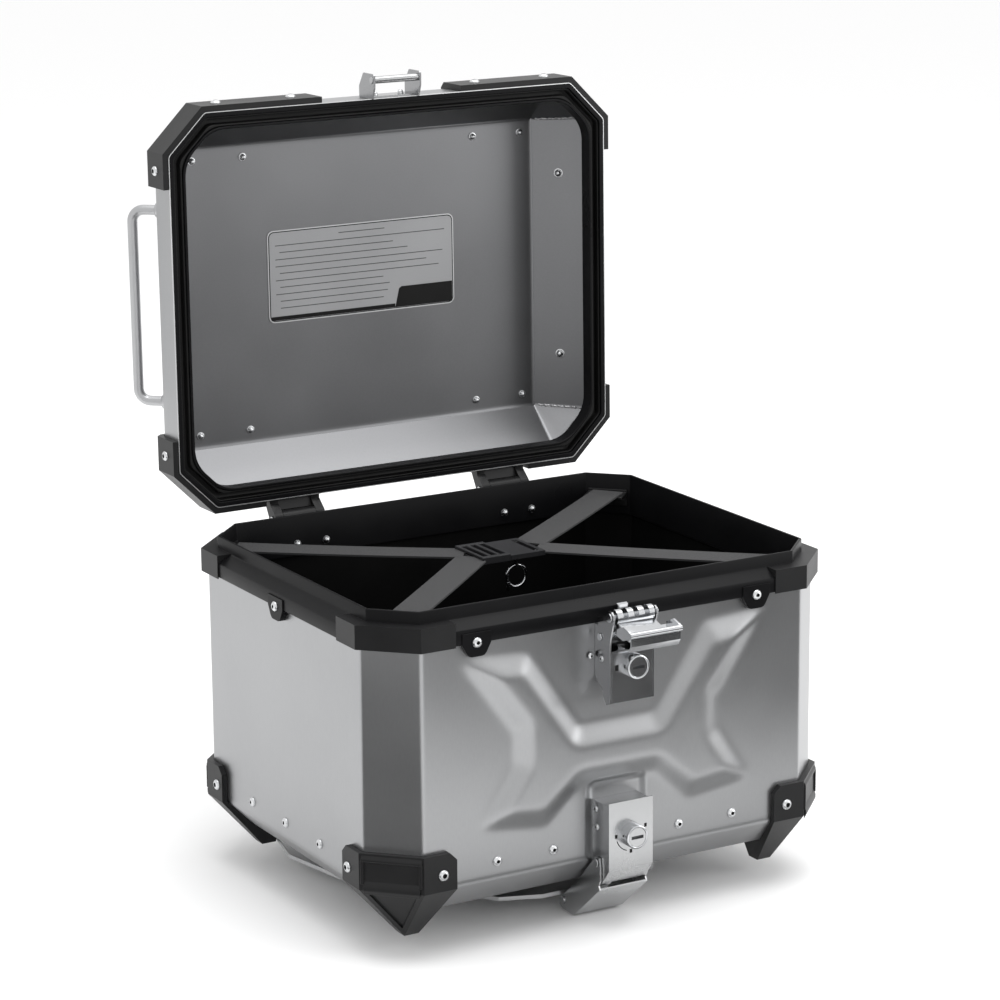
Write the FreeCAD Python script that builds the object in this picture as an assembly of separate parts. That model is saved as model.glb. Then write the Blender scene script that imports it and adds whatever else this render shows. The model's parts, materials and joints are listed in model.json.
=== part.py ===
import FreeCAD, Part
import math
import os

# Aluminium top case for a motorcycle, lid open, on its rack plate.
# Case axes: +X right, -Y front (latch side), +Y back (hinge side), +Z up, millimetres.
# Shapes are drawn about the centre of the box and moved so that the origin is the
# centre of the four rack bolts at the underside of the spacers.

V = FreeCAD.Vector

# ---------------------------------------------------------------- driving dimensions
BOX_HX = 205.0            # half width of the box wall
BOX_HY = 163.5            # half depth of the box wall
CORNER = 33.5             # corner cut of the octagonal plan
SHEET = 1.8               # aluminium sheet
Z_PANEL = 32.0            # underside of the box floor
Z_FOLD = 57.0             # bottom fold of the walls
BEVEL = Z_FOLD - Z_PANEL  # 45 degree bottom bevel
PANEL_CUT = 12.0          # corner cut of the floor panel
Z_SHEET_TOP = 258.0       # top edge of the sheet, inside the rim

RIM_OUT = 3.8             # rim stands this far outside the wall
CAP_OUT = 5.0             # corner caps stand this far outside the wall
Z_RIM_LOW = 247.0
Z_RIM_EDGE = 259.0
Z_SHOULDER = 265.0
Z_LIP = 275.0
LIP_OUT = -7.5            # outer face of the sealing lip, from the wall
LIP_IN = -10.0
CAP_ARM_X = 144.0         # inner end of the caps on front and back
CAP_ARM_Y = 102.0         # inner end of the caps on the sides
Z_CAP_TOP = 265.4

LID_OUT = -0.8            # lid wall, from the box wall
Z_LID = 268.7             # lid edge when closed
LID_BAND = 27.5
LID_BEVEL = 35.0
Z_LID_BAND = Z_LID + LID_BAND
Z_LID_TOP = Z_LID_BAND + LID_BEVEL

HINGE_Y = 178.8
HINGE_Z = 267.0
OPEN_DEG = 90.7           # the lid stands open by this much

RACK_Y = 65.0             # centre of the rack bolts, behind the centre of the box
RACK_DX = 140.0
RACK_DY = 80.0
RACK_HOLE_R = 3.3
Z_PLATE = 12.0
PLATE_T = 3.5

BIG = 400.0
DIAG = 2.0 - math.sqrt(2.0)
STEP_IN = math.sqrt(2.0) - 1.0


# ---------------------------------------------------------------- helpers
def polygon(points):
    return Part.makePolygon(points + [points[0]])


def face(points):
    return Part.Face(polygon(points))


def octagon(out, z, hx=BOX_HX, hy=BOX_HY, cut=CORNER):
    x = hx + out
    y = hy + out
    c = cut + DIAG * out
    plan = [(-x + c, -y), (x - c, -y), (x, -y + c), (x, y - c),
            (x - c, y), (-x + c, y), (-x, y - c), (-x, -y + c)]
    return [V(a, b, z) for a, b in plan]


def prism(out, z0, z1):
    return face(octagon(out, z0)).extrude(V(0, 0, z1 - z0))


def ring(outer, inner, z0, z1):
    return prism(outer, z0, z1).cut(prism(inner, z0 - 1, z1 + 1))


def frustum(out0, z0, out1, z1):
    low = octagon(out0, z0)
    high = octagon(out1, z1)
    faces = [face(low), face(high)]
    for i in range(8):
        j = (i + 1) % 8
        faces.append(face([low[i], low[j], high[j], high[i]]))
    return Part.makeSolid(Part.makeShell(faces))


def tub(out, z_open, z_fold, z_end, rect_x, rect_y, end_cut=0.0):
    """Octagonal wall from z_open to z_fold, then bevels to a panel at z_end.

    The panel is a rectangle with its corners cut by end_cut, or square-cornered at 0.
    """
    top = octagon(out, z_open)
    fold = octagon(out, z_fold)
    rect = [V(-rect_x, -rect_y, z_end), V(rect_x, -rect_y, z_end),
            V(rect_x, rect_y, z_end), V(-rect_x, rect_y, z_end)]
    if end_cut > 0:
        rect = octagon(0.0, z_end, rect_x, rect_y, end_cut)
    faces = [face(top), face(rect)]
    for i in range(8):
        j = (i + 1) % 8
        faces.append(face([top[i], top[j], fold[j], fold[i]]))
        if end_cut > 0:
            faces.append(face([fold[i], fold[j], rect[j], rect[i]]))
    for k in range(0 if end_cut > 0 else 4):
        a = fold[2 * k]
        b = fold[2 * k + 1]
        c = fold[(2 * k + 2) % 8]
        faces.append(face([a, b, rect[(k + 1) % 4], rect[k]]))
        faces.append(face([b, c, rect[(k + 1) % 4]]))
    solid = Part.makeSolid(Part.makeShell(faces))
    if solid.Volume < 0:
        solid.reverse()
    return solid


def box(x0, x1, y0, y1, z0, z1):
    return Part.makeBox(x1 - x0, y1 - y0, z1 - z0, V(x0, y0, z0))


def cyl(radius, p, q):
    p = V(*p)
    d = V(*q) - p
    return Part.makeCylinder(radius, d.Length, p, d)


def side_plate(points, x0, x1):
    """Profile given as (y, z) points, extruded along X."""
    return face([V(x0, y, z) for y, z in points]).extrude(V(x1 - x0, 0, 0))


def front_plate(points, y0, y1):
    """Profile given as (x, z) points, extruded along Y."""
    return face([V(x, y0, z) for x, z in points]).extrude(V(0, y1 - y0, 0))


def plan_plate(points, z0, z1):
    return face([V(x, y, z0) for x, y in points]).extrude(V(0, 0, z1 - z0))


def strip(path, thick, x0, x1):
    """Bent sheet: (y, z) path thickened to its left by thick and extruded along X."""
    n = len(path)
    offset = []
    for i in range(n):
        a = path[max(i - 1, 0)]
        b = path[i]
        c = path[min(i + 1, n - 1)]
        normals = []
        for p, q in ((a, b), (b, c)):
            length = math.hypot(q[0] - p[0], q[1] - p[1])
            if length > 0:
                normals.append((-(q[1] - p[1]) / length, (q[0] - p[0]) / length))
        nx = sum(v[0] for v in normals) / len(normals)
        ny = sum(v[1] for v in normals) / len(normals)
        scale = thick / (nx * nx + ny * ny)
        offset.append((b[0] + nx * scale, b[1] + ny * scale))
    return side_plate(list(path) + offset[::-1], x0, x1)


def dome_screw(p, axis, head_r, head_h, shank_r, shank_l):
    """Button head standing on p along axis, with its shank behind and a blind socket."""
    a = V(*axis)
    p = V(*p)
    ball_r = (head_r ** 2 + head_h ** 2) / (2.0 * head_h)
    ball = Part.makeSphere(ball_r, p + a * (head_h - ball_r))
    head = ball.common(Part.makeCylinder(head_r, head_h, p, a))
    socket = Part.makeCylinder(head_r * 0.3, head_h * 0.6, p + a * (head_h * 0.4), a)
    shank = Part.makeCylinder(shank_r, shank_l, p - a * shank_l, a)
    return head.cut(socket).fuse(shank)


def mirror_x(shape):
    return shape.mirror(V(0, 0, 0), V(1, 0, 0))


def mirror_y(shape):
    return shape.mirror(V(0, 0, 0), V(0, 1, 0))


def fuse_all(shapes):
    result = shapes[0]
    for s in shapes[1:]:
        result = result.fuse(s)
    return result.removeSplitter()


def group(shapes):
    return Part.makeCompound(shapes)


parts = {}
lid_parts = {}

# ---------------------------------------------------------------- pressed X on the front
X_TOP = 233.0             # outer height of the upper arms
X_LOW = 92.0
X_RAISE = 5.5             # the X stands this far out of the wall
X_SLOPE = 11.0            # width of its sloping edge
X_OUTLINE = [(-139, X_TOP), (-78, X_TOP - 3), (-32, 168), (32, 168), (78, X_TOP - 3),
             (139, X_TOP), (90, 162), (126, 98), (62, X_LOW), (30, 122), (-30, 122),
             (-62, X_LOW), (-126, 98), (-90, 162)]


def inset(points, distance):
    """Polygon (clockwise) moved inwards by distance along every edge."""
    n = len(points)
    result = []
    for i in range(n):
        a = points[i - 1]
        b = points[i]
        c = points[(i + 1) % n]
        d1 = (b[0] - a[0], b[1] - a[1])
        d2 = (c[0] - b[0], c[1] - b[1])
        l1 = math.hypot(*d1)
        l2 = math.hypot(*d2)
        n1 = (d1[1] / l1, -d1[0] / l1)
        n2 = (d2[1] / l2, -d2[0] / l2)
        k = distance / (1.0 + n1[0] * n2[0] + n1[1] * n2[1])
        result.append((b[0] + (n1[0] + n2[0]) * k, b[1] + (n1[1] + n2[1]) * k))
    return result


def raised_x(y_base, slope):
    base = [V(x, y_base, z) for x, z in X_OUTLINE]
    top = [V(x, y_base - X_RAISE, z) for x, z in inset(X_OUTLINE, slope)]
    faces = [face(base), face(top)]
    for i in range(len(base)):
        faces.append(face([base[i - 1], base[i], top[i], top[i - 1]]))
    solid = Part.makeSolid(Part.makeShell(faces))
    if solid.Volume < 0:
        solid.reverse()
    return solid


POCKET_X = 28.0           # pressed-in pocket behind the lower latch
POCKET_Z = 121.0
POCKET_DEPTH = 3.5


def pocket(grow, y_back):
    x = POCKET_X + grow
    z = POCKET_Z + grow
    c = 9.0
    low = Z_FOLD - 7 - grow
    outline = [(-x, low), (x, low), (x, z - c), (x - c, z), (-x + c, z), (-x, z - c)]
    return front_plate(outline, -BOX_HY - 20, y_back)


outer = tub(0.0, Z_SHEET_TOP, Z_FOLD, Z_PANEL, BOX_HX - BEVEL, BOX_HY - BEVEL, PANEL_CUT)
inner = tub(-SHEET, Z_SHEET_TOP + 5, Z_FOLD + STEP_IN * SHEET, Z_PANEL + SHEET,
            BOX_HX - BEVEL - STEP_IN * SHEET, BOX_HY - BEVEL - STEP_IN * SHEET, PANEL_CUT)
outer = outer.fuse(raised_x(-BOX_HY, X_SLOPE))
outer = outer.cut(pocket(0.0, -BOX_HY + POCKET_DEPTH))
inner = inner.fuse(raised_x(-BOX_HY + SHEET, X_SLOPE))
inner = inner.cut(pocket(SHEET, -BOX_HY + POCKET_DEPTH + SHEET))
parts["body_shell"] = outer.cut(inner)

# ---------------------------------------------------------------- rim
LUG_R = 8.0
LUG_Z = 245.2
LUG_X = 126.0
frame = prism(RIM_OUT, Z_RIM_LOW, Z_RIM_EDGE)
frame = frame.fuse(frustum(RIM_OUT, Z_RIM_EDGE, LIP_OUT, Z_SHOULDER))
frame = frame.fuse(prism(LIP_OUT, Z_RIM_LOW - 7, Z_LIP))
lug_out = RIM_OUT + 1.2
for x in (-LUG_X, LUG_X):
    frame = frame.fuse(cyl(LUG_R, (x, -BOX_HY - lug_out, LUG_Z), (x, -BOX_HY, LUG_Z)))
frame = frame.fuse(cyl(LUG_R, (0, BOX_HY, LUG_Z), (0, BOX_HY + lug_out, LUG_Z)))
for s in (-1, 1):
    frame = frame.fuse(cyl(LUG_R, (s * BOX_HX, 0, LUG_Z), (s * (BOX_HX + lug_out), 0, LUG_Z)))
frame = frame.cut(prism(LIP_IN, Z_RIM_LOW - 30, Z_LIP + 5))
frame = frame.cut(prism(-5.0, Z_RIM_LOW - 30, Z_RIM_EDGE - 1))
frame = frame.cut(ring(0.15, -SHEET - 0.15, Z_RIM_LOW - 30, Z_SHEET_TOP + 0.2))
parts["rim_frame"] = frame

cap = prism(CAP_OUT, Z_RIM_LOW - 0.6, Z_CAP_TOP).cut(prism(LIP_OUT + 0.15, Z_RIM_LOW - 5, 300))
cap = cap.cut(prism(RIM_OUT + 0.15, Z_RIM_LOW - 5, Z_RIM_EDGE + 0.15))
cap = cap.cut(frustum(RIM_OUT + 0.15, Z_RIM_EDGE + 0.14, LIP_OUT + 0.15, Z_SHOULDER + 0.14))
cap = cap.common(box(-BIG, -CAP_ARM_X, -BIG, -CAP_ARM_Y, 0, BIG))
parts["rim_corner_front_left"] = cap
parts["rim_corner_front_right"] = mirror_x(cap)
parts["rim_corner_back_left"] = mirror_y(cap)
parts["rim_corner_back_right"] = mirror_x(mirror_y(cap))

RIVET_Z = 248.3
rivets = []
for x in (-LUG_X, LUG_X):
    rivets.append(dome_screw((x, -BOX_HY - lug_out - 0.05, RIVET_Z), (0, -1, 0), 3.9, 2.0, 2.0, 4.6))
rivets.append(dome_screw((0, BOX_HY + lug_out + 0.05, RIVET_Z), (0, 1, 0), 3.9, 2.0, 2.0, 4.6))
for s in (-1, 1):
    p = (s * (BOX_HX + lug_out + 0.05), 0, RIVET_Z)
    rivets.append(dome_screw(p, (s, 0, 0), 3.9, 2.0, 2.0, 4.6))
rim_rivets = rivets
hole = [cyl(2.05, (x, -BOX_HY - 20, RIVET_Z), (x, -BOX_HY + 0.2, RIVET_Z)) for x in (-LUG_X, LUG_X)]
hole.append(cyl(2.05, (0, BOX_HY - 0.2, RIVET_Z), (0, BOX_HY + 20, RIVET_Z)))
hole += [cyl(2.05, (s * (BOX_HX - 0.2), 0, RIVET_Z), (s * (BOX_HX + 20), 0, RIVET_Z)) for s in (-1, 1)]
parts["rim_frame"] = parts["rim_frame"].cut(group(hole))

# ---------------------------------------------------------------- bottom corner guards
GUARD_OUT = 5.0
GUARD_TOP = 86.5
GUARD_X = 145.0
GUARD_Y = 105.0
Z_FOOT = 10.5
FOOT_X = 157.0
FOOT_Y = 116.0
guard = tub(GUARD_OUT, GUARD_TOP, Z_FOLD, Z_FOOT, BOX_HX - 35.5, BOX_HY - 35.5)
guard = guard.cut(tub(0.15, Z_SHEET_TOP, Z_FOLD - 0.07, Z_PANEL - 0.15,
                      BOX_HX - BEVEL + 0.07, BOX_HY - BEVEL + 0.07, PANEL_CUT))
arm = 6.0
guard = guard.common(front_plate([(-BIG, 0), (-BIG, GUARD_TOP), (-GUARD_X - arm, GUARD_TOP),
                                  (-GUARD_X, GUARD_TOP - arm), (-GUARD_X, Z_FOLD),
                                  (-FOOT_X, Z_FOOT), (-FOOT_X, 0)], -BIG, BIG))
guard = guard.common(side_plate([(-BIG, 0), (-BIG, GUARD_TOP), (-GUARD_Y - arm, GUARD_TOP),
                                 (-GUARD_Y, GUARD_TOP - arm), (-GUARD_Y, Z_FOLD),
                                 (-FOOT_Y, Z_FOOT), (-FOOT_Y, 0)], -BIG, BIG))
GUARD_SCREWS = [((-157.0, -BOX_HY - GUARD_OUT, 70.0), (0, -1, 0)),
                ((-BOX_HX - GUARD_OUT, -114.0, 70.0), (-1, 0, 0))]
base = octagon(GUARD_OUT, Z_FOLD)
apex = V(-BOX_HX + 35.5, -BOX_HY + 35.5, Z_FOOT)
corners = [base[7], base[0], apex]
middle = (corners[0] + corners[1] + corners[2]) * (1.0 / 3.0)
recess = face([middle + (p - middle) * 0.74 for p in corners])
normal = (corners[1] - corners[0]).cross(corners[2] - corners[0]).normalize()
if normal.x > 0:
    normal = normal * -1
guard = guard.cut(recess.extrude(normal * 8)).cut(recess.extrude(normal * -1.6))
flip = {"front_left": lambda s: s, "front_right": mirror_x, "back_left": mirror_y,
        "back_right": lambda s: mirror_x(mirror_y(s))}
screw_holes = group([cyl(2.05, (-157.0, -BIG, 70.0), (-157.0, -BOX_HY + 4, 70.0)),
                     cyl(2.05, (-BIG, -114.0, 70.0), (-BOX_HX + 4, -114.0, 70.0))])
guard = guard.cut(screw_holes)
for name, turn in flip.items():
    parts["guard_" + name] = turn(guard)
parts["guard_screws"] = group([turn(dome_screw(p, a, 4.3, 2.2, 2.0, 8.5))
                               for turn in flip.values() for p, a in GUARD_SCREWS])
shell_holes = [turn(screw_holes) for turn in flip.values()]

# ---------------------------------------------------------------- stiffening ring and its rivets
Z_RIVET = 70.5
stiffener = ring(-SHEET - 0.15, -SHEET - 1.65, 62.0, 80.0)
stiffener = stiffener.cut(box(-31, 31, -BIG, -140, 0, BIG))
rivets = []
holes = []
for s in (-1, 1):
    for x in (-107.3, -57.4, 57.4, 107.3):
        rivets.append(dome_screw((x, s * (BOX_HY + 0.05), Z_RIVET), (0, s, 0), 3.9, 2.0, 2.0, 3.3))
        holes.append(cyl(2.05, (x, s * (BOX_HY - 6), Z_RIVET), (x, s * (BOX_HY + 6), Z_RIVET)))
    for y in (-58.5, 0.0, 58.5):
        rivets.append(dome_screw((s * (BOX_HX + 0.05), y, Z_RIVET), (s, 0, 0), 3.9, 2.0, 2.0, 3.3))
        holes.append(cyl(2.05, (s * (BOX_HX - 6), y, Z_RIVET), (s * (BOX_HX + 6), y, Z_RIVET)))
parts["wall_rivets"] = group(rim_rivets + rivets)
parts["base_stiffener"] = stiffener.cut(group(holes + shell_holes))

# ---------------------------------------------------------------- hinges
HINGE_X = 99.0
HINGE_HALF = 23.0
KNUCKLE_HALF = 15.0
BARREL_R = 6.5
PIN_R = 2.5
Z_HINGE_BOLT = 250.5
Z_LID_BOLT = 286.0
HINGE_BOLT_DX = 13.5
y_leaf = BOX_HY + RIM_OUT + 0.2
y_wall = BOX_HY + LID_OUT + 0.15


def hinge_body(xc):
    leaf = box(xc - HINGE_HALF, xc + HINGE_HALF, y_leaf, y_leaf + 4, 236, 258)
    neck = side_plate([(y_leaf, 236), (y_leaf + 4, 236), (y_leaf + 4, 255.5), (HINGE_Y + 4.6, 262.4),
                       (HINGE_Y - 5.5, 270.4), (y_leaf, 264)], xc - KNUCKLE_HALF, xc + KNUCKLE_HALF)
    barrel = cyl(BARREL_R, (xc - KNUCKLE_HALF, HINGE_Y, HINGE_Z), (xc + KNUCKLE_HALF, HINGE_Y, HINGE_Z))
    bore = cyl(PIN_R + 0.01, (xc - 50, HINGE_Y, HINGE_Z), (xc + 50, HINGE_Y, HINGE_Z))
    return fuse_all([leaf, neck, barrel]).cut(bore)


def hinge_lid(xc):
    leaf = box(xc - HINGE_HALF, xc + HINGE_HALF, y_wall, y_wall + 4, 276, 294)
    shapes = [leaf]
    for x0, x1 in ((xc - HINGE_HALF, xc - KNUCKLE_HALF - 0.3), (xc + KNUCKLE_HALF + 0.3, xc + HINGE_HALF)):
        shapes.append(side_plate([(y_wall, 271), (y_wall + 4, 271), (HINGE_Y - 5.0, 262.9),
                                  (HINGE_Y + 5.6, 270.3), (y_wall + 4, 280.5), (y_wall, 280.5)], x0, x1))
        shapes.append(cyl(BARREL_R, (x0, HINGE_Y, HINGE_Z), (x1, HINGE_Y, HINGE_Z)))
    bore = cyl(PIN_R + 0.06, (xc - 50, HINGE_Y, HINGE_Z), (xc + 50, HINGE_Y, HINGE_Z))
    return fuse_all(shapes).cut(bore)


body_bolts = []
body_holes = []
lid_bolts = []
lid_holes = []
nut_room = []
pins = []
for s, name in ((-1, "left"), (1, "right")):
    xc = s * HINGE_X
    pins.append(cyl(PIN_R, (xc - HINGE_HALF - 1, HINGE_Y, HINGE_Z), (xc + HINGE_HALF + 1, HINGE_Y, HINGE_Z)))
    for d in (-HINGE_BOLT_DX, HINGE_BOLT_DX):
        x = xc + d
        bolt = dome_screw((x, y_leaf + 4.05, Z_HINGE_BOLT), (0, 1, 0), 4.0, 2.2, 2.0, 14.5)
        nut = dome_screw((x, BOX_HY - 5.1, Z_HINGE_BOLT), (0, -1, 0), 3.6, 3.2, 2.0, 0.1)
        body_bolts.append(bolt.fuse(nut))
        body_holes.append(cyl(2.06, (x, BOX_HY - 12, Z_HINGE_BOLT), (x, BOX_HY + 20, Z_HINGE_BOLT)))
        nut_room.append(cyl(6.0, (x, BOX_HY - 12, Z_HINGE_BOLT), (x, BOX_HY - 5, Z_HINGE_BOLT)))
        bolt = dome_screw((x, y_wall + 4.05, Z_LID_BOLT), (0, 1, 0), 4.0, 2.2, 2.0, 8.0)
        lid_bolts.append(bolt)
        lid_holes.append(cyl(2.06, (x, BOX_HY - 12, Z_LID_BOLT), (x, BOX_HY + 20, Z_LID_BOLT)))
    parts["hinge_body_" + name] = hinge_body(xc)
    lid_parts["hinge_lid_" + name] = hinge_lid(xc)
parts["hinge_pins"] = group(pins)
parts["hinge_body_bolts"] = group(body_bolts)
for name in ("hinge_body_left", "hinge_body_right", "rim_frame", "body_shell"):
    parts[name] = parts[name].cut(group(body_holes))
for name in ("hinge_lid_left", "hinge_lid_right"):
    lid_parts[name] = lid_parts[name].cut(group(lid_holes))

# ---------------------------------------------------------------- liner
LINER_OUT = -6.0
LINER_T = 1.5
Z_LINER = 256.0
z_floor = 34.3
z_liner_fold = Z_FOLD - STEP_IN * LINER_OUT
drop = z_liner_fold - z_floor
liner = tub(LINER_OUT, Z_LINER, z_liner_fold, z_floor,
            BOX_HX + LINER_OUT - drop, BOX_HY + LINER_OUT - drop, PANEL_CUT + 3)
hollow = tub(LINER_OUT - LINER_T, Z_LINER + 5, z_liner_fold + STEP_IN * LINER_T, z_floor + LINER_T,
             BOX_HX + LINER_OUT - drop - STEP_IN * LINER_T,
             BOX_HY + LINER_OUT - drop - STEP_IN * LINER_T, PANEL_CUT + 3)
parts["liner"] = liner.cut(hollow).cut(group(nut_room))

# ---------------------------------------------------------------- luggage straps
WEB = 25.0
WEB_T = 1.6
Z_WEB = 260.0
ANCHOR_X = 171.0
ANCHOR_Y = 129.5
LADDER_X = -30.0
TONGUE_X = 28.0
BUCKLE_Y = 12.0


def leg(p, q, z):
    """Flat webbing from p to q."""
    d = V(q[0] - p[0], q[1] - p[1], 0)
    n = V(-d.y, d.x, 0).normalize() * (WEB / 2)
    a = V(p[0], p[1], z)
    b = V(q[0], q[1], z)
    return face([a + n, a - n, b - n, b + n]).extrude(V(0, 0, WEB_T))


def strap(side, x_join):
    back = leg((side * ANCHOR_X, ANCHOR_Y), (x_join, BUCKLE_Y + 6), Z_WEB)
    front = leg((side * ANCHOR_X, -ANCHOR_Y), (x_join, BUCKLE_Y - 6), Z_WEB)
    return back.fuse(front)


parts["strap_left"] = strap(-1, LADDER_X - 4).removeSplitter()
parts["strap_right"] = strap(1, TONGUE_X + 4).removeSplitter()
BUCKLE_W = 23.0
ladder = box(LADDER_X, LADDER_X + 26, BUCKLE_Y - BUCKLE_W, BUCKLE_Y + BUCKLE_W, Z_WEB - 2.0, Z_WEB + 4.0)
for x in (3.0, 11.0, 19.0):
    ladder = ladder.cut(box(LADDER_X + x, LADDER_X + x + 4.5, BUCKLE_Y - 18, BUCKLE_Y + 18, 200, 300))
ladder = ladder.cut(box(LADDER_X - 9, LADDER_X + 5.2, BUCKLE_Y - 21, BUCKLE_Y + 21, Z_WEB - 0.2, Z_WEB + 1.8))
parts["strap_ladder"] = ladder.cut(parts["strap_left"])
tongue = box(LADDER_X + 26.2, TONGUE_X, BUCKLE_Y - BUCKLE_W, BUCKLE_Y + BUCKLE_W, Z_WEB - 1.4, Z_WEB + 2.4)
tongue = tongue.cut(box(TONGUE_X - 8, TONGUE_X - 3.5, BUCKLE_Y - 18, BUCKLE_Y + 18, 200, 300))
tongue = tongue.cut(parts["strap_right"])

ANCHOR_PLATE = 34.0
anchors = []
lip_wall = math.sqrt(0.5) * (BOX_HX + BOX_HY + 2 * LIP_IN - CORNER - DIAG * LIP_IN)
far = (ANCHOR_X + ANCHOR_Y) * math.sqrt(0.5) - 6.0
across = V(1, -1, 0).normalize() * (ANCHOR_PLATE / 2)
along = V(1, 1, 0).normalize()
shift = V(1, -1, 0) * ((ANCHOR_X - ANCHOR_Y) / 2.0)
near = along * (lip_wall - 0.15) + shift
plate = face([near + across + V(0, 0, Z_WEB - 2.4), near - across + V(0, 0, Z_WEB - 2.4),
              along * far - across + shift + V(0, 0, Z_WEB - 2.4),
              along * far + across + shift + V(0, 0, Z_WEB - 2.4)]).extrude(V(0, 0, 2.2))
upright = face([near + across + V(0, 0, Z_WEB - 12), near - across + V(0, 0, Z_WEB - 12),
                near - across - along * 2 + V(0, 0, Z_WEB - 12),
                near + across - along * 2 + V(0, 0, Z_WEB - 12)]).extrude(V(0, 0, 14))
anchor = plate.fuse(upright)
for turn in flip.values():
    anchors.append(turn(anchor))
parts["strap_anchors"] = group(anchors)

RING_X = 7.0
RING_Y = 0.0
RING_R = 9.0
RING_WIRE = 1.2
Z_RING_EYE = 251.0
eye = Part.makeTorus(2.4, 0.9, V(RING_X, RING_Y, Z_RING_EYE), V(1, 0, 0))
eye = eye.fuse(cyl(1.3, (RING_X, RING_Y, Z_RING_EYE + 2.2), (RING_X, RING_Y, Z_WEB - 1.2)))
parts["strap_tongue"] = tongue.fuse(eye)
z_ring = Z_RING_EYE - 1.4 - RING_R + RING_WIRE
ring_body = Part.makeTorus(RING_R, RING_WIRE, V(RING_X, RING_Y, z_ring), V(0, 1, 0))
clip = cyl(1.7, (RING_X - 7.5, RING_Y, z_ring - 11.5), (RING_X - 7.5, RING_Y, z_ring - 4.5))
parts["snap_ring"] = ring_body.fuse(clip)

# ---------------------------------------------------------------- upper latch
LATCH_HALF = 20.0
LATCH_T = 1.5
K_Y = -186.0              # lever pivot
K_Z = 255.5
LOCK_Z = 216.0
y_back = -BOX_HY - 0.15
flange = [(y_back, 205), (y_back, 246.2), (-168.2, 246.2), (-168.2, 252), (-181.2, 255.5),
          (-182, 258.4), (-184.2, 260.3), (-187.8, 260.3), (-190.4, 258), (-191.2, 254.5),
          (-188, 244), (-185.5, 236), (-185.5, 190), (-184, 186.4), (-180.5, 185),
          (-175.8, 191), (-175.8, 195)]
housing = [side_plate(flange, -LATCH_HALF, -LATCH_HALF + LATCH_T),
           side_plate(flange, LATCH_HALF - LATCH_T, LATCH_HALF),
           box(-LATCH_HALF, LATCH_HALF, -185.5, -184.0, 187, 228),
           box(-LATCH_HALF, LATCH_HALF, y_back - LATCH_T, y_back, 205, 246)]
housing = fuse_all(housing)
housing = housing.cut(cyl(9.05, (0, -190, LOCK_Z), (0, -175, LOCK_Z)))
housing = housing.cut(cyl(2.02, (-30, K_Y, K_Z), (30, K_Y, K_Z)))
housing = housing.cut(cyl(2.02, (-30, -172, 237.3), (30, -172, 237.3)))
rivets = []
for s in (-1, 1):
    rivets.append(dome_screw((s * 23.2, y_back, 221), (0, -1, 0), 2.6, 2.2, 1.4, 2.4))
    rivets.append(dome_screw((s * 20.05, -174, 220.4), (s, 0, 0), 2.4, 1.2, 1.4, 2.6))
    housing = housing.cut(cyl(1.45, (s * 24, -174, 220.4), (s * 17, -174, 220.4)))
parts["latch_housing"] = housing
latch_rivets = rivets


def headed_pin(radius, head_r, y, z, half, head_t):
    pin = cyl(radius, (-half - head_t, y, z), (half + head_t, y, z))
    ends = [cyl(head_r, (s * half, y, z), (s * (half + head_t), y, z)) for s in (-1, 1)]
    return fuse_all([pin] + ends)


parts["latch_pins"] = group([headed_pin(2.0, 3.6, K_Y, K_Z, 20.1, 1.3),
                             headed_pin(2.0, 2.9, -172, 237.3, 20.1, 1.2)])

LOCK_FACE = 10.0


def lock_body(z, y_plate, depth):
    body = cyl(9.5, (0, y_plate - 0.05, z), (0, y_plate - LOCK_FACE, z))
    body = body.fuse(cyl(9.0, (0, y_plate - 0.05, z), (0, y_plate + depth, z)))
    return body.cut(cyl(7.65, (0, y_plate - 40, z), (0, y_plate + 40, z)))


def lock_plug(z, y_plate, depth):
    plug = cyl(7.6, (0, y_plate - LOCK_FACE + 0.5, z), (0, y_plate + depth + 0.4, z))
    slot = box(-5.4, 5.4, y_plate - LOCK_FACE - 1, y_plate - LOCK_FACE + 7, z - 1.3, z + 1.3)
    cam = box(-3, 3, y_plate + depth + 0.3, y_plate + depth + 2.2, z - 5, z + 11.5)
    return plug.cut(slot).fuse(cam)


parts["latch_lock_body"] = lock_body(LOCK_Z, -185.5, 14.5)
parts["latch_lock_plug"] = lock_plug(LOCK_Z, -185.5, 14.5)

BAR_Y = -218.5
BAR_Z = 249.5
knuckle = cyl(6.0, (-16.5, K_Y, K_Z), (16.5, K_Y, K_Z))
web = strip([(-186, 250.4), (-190, 250.2), (-208.6, 244.6)], -1.5, -16, 16)
tee = strip([(-200.4, 247.0), (-208.6, 244.6)], -1.5, -23, 23)
gusset = [(-187, 251), (-208.4, 244.8), (-206.5, 240.8), (-188.5, 246)]
arm_side = [(-200.4, 245.4), (-200.4, 250.5), (-209.5, 254.6), (-217.5, 252.2), (-220.7, 249.5),
            (-218.5, 247), (-209, 243.4)]
lever = [knuckle, web, tee, side_plate(gusset, -16, -14.5), side_plate(gusset, 14.5, 16),
         side_plate(arm_side, -23, -21.4), side_plate(arm_side, 21.4, 23),
         cyl(2.4, (-23, BAR_Y, BAR_Z), (23, BAR_Y, BAR_Z)),
         strip([(-219.4, 250.5), (-219.4, 241), (-216.6, 236.2)], 1.4, -22, 22)]
lever = fuse_all(lever)
for x in (-11.5, -2.0, 7.5):
    lever = lever.cut(box(x, x + 4.5, K_Y - 9, K_Y + 9, K_Z + 0.5, K_Z + 9))
lever = lever.cut(cyl(2.06, (-40, K_Y, K_Z), (40, K_Y, K_Z)))
parts["latch_lever"] = lever

JAW_IN = 14.2
JAW_OUT = 16.6
JAW_X = 4.5


def polar(radius, degrees):
    a = math.radians(degrees)
    return (K_Y + radius * math.cos(a), K_Z + radius * math.sin(a))


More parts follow.
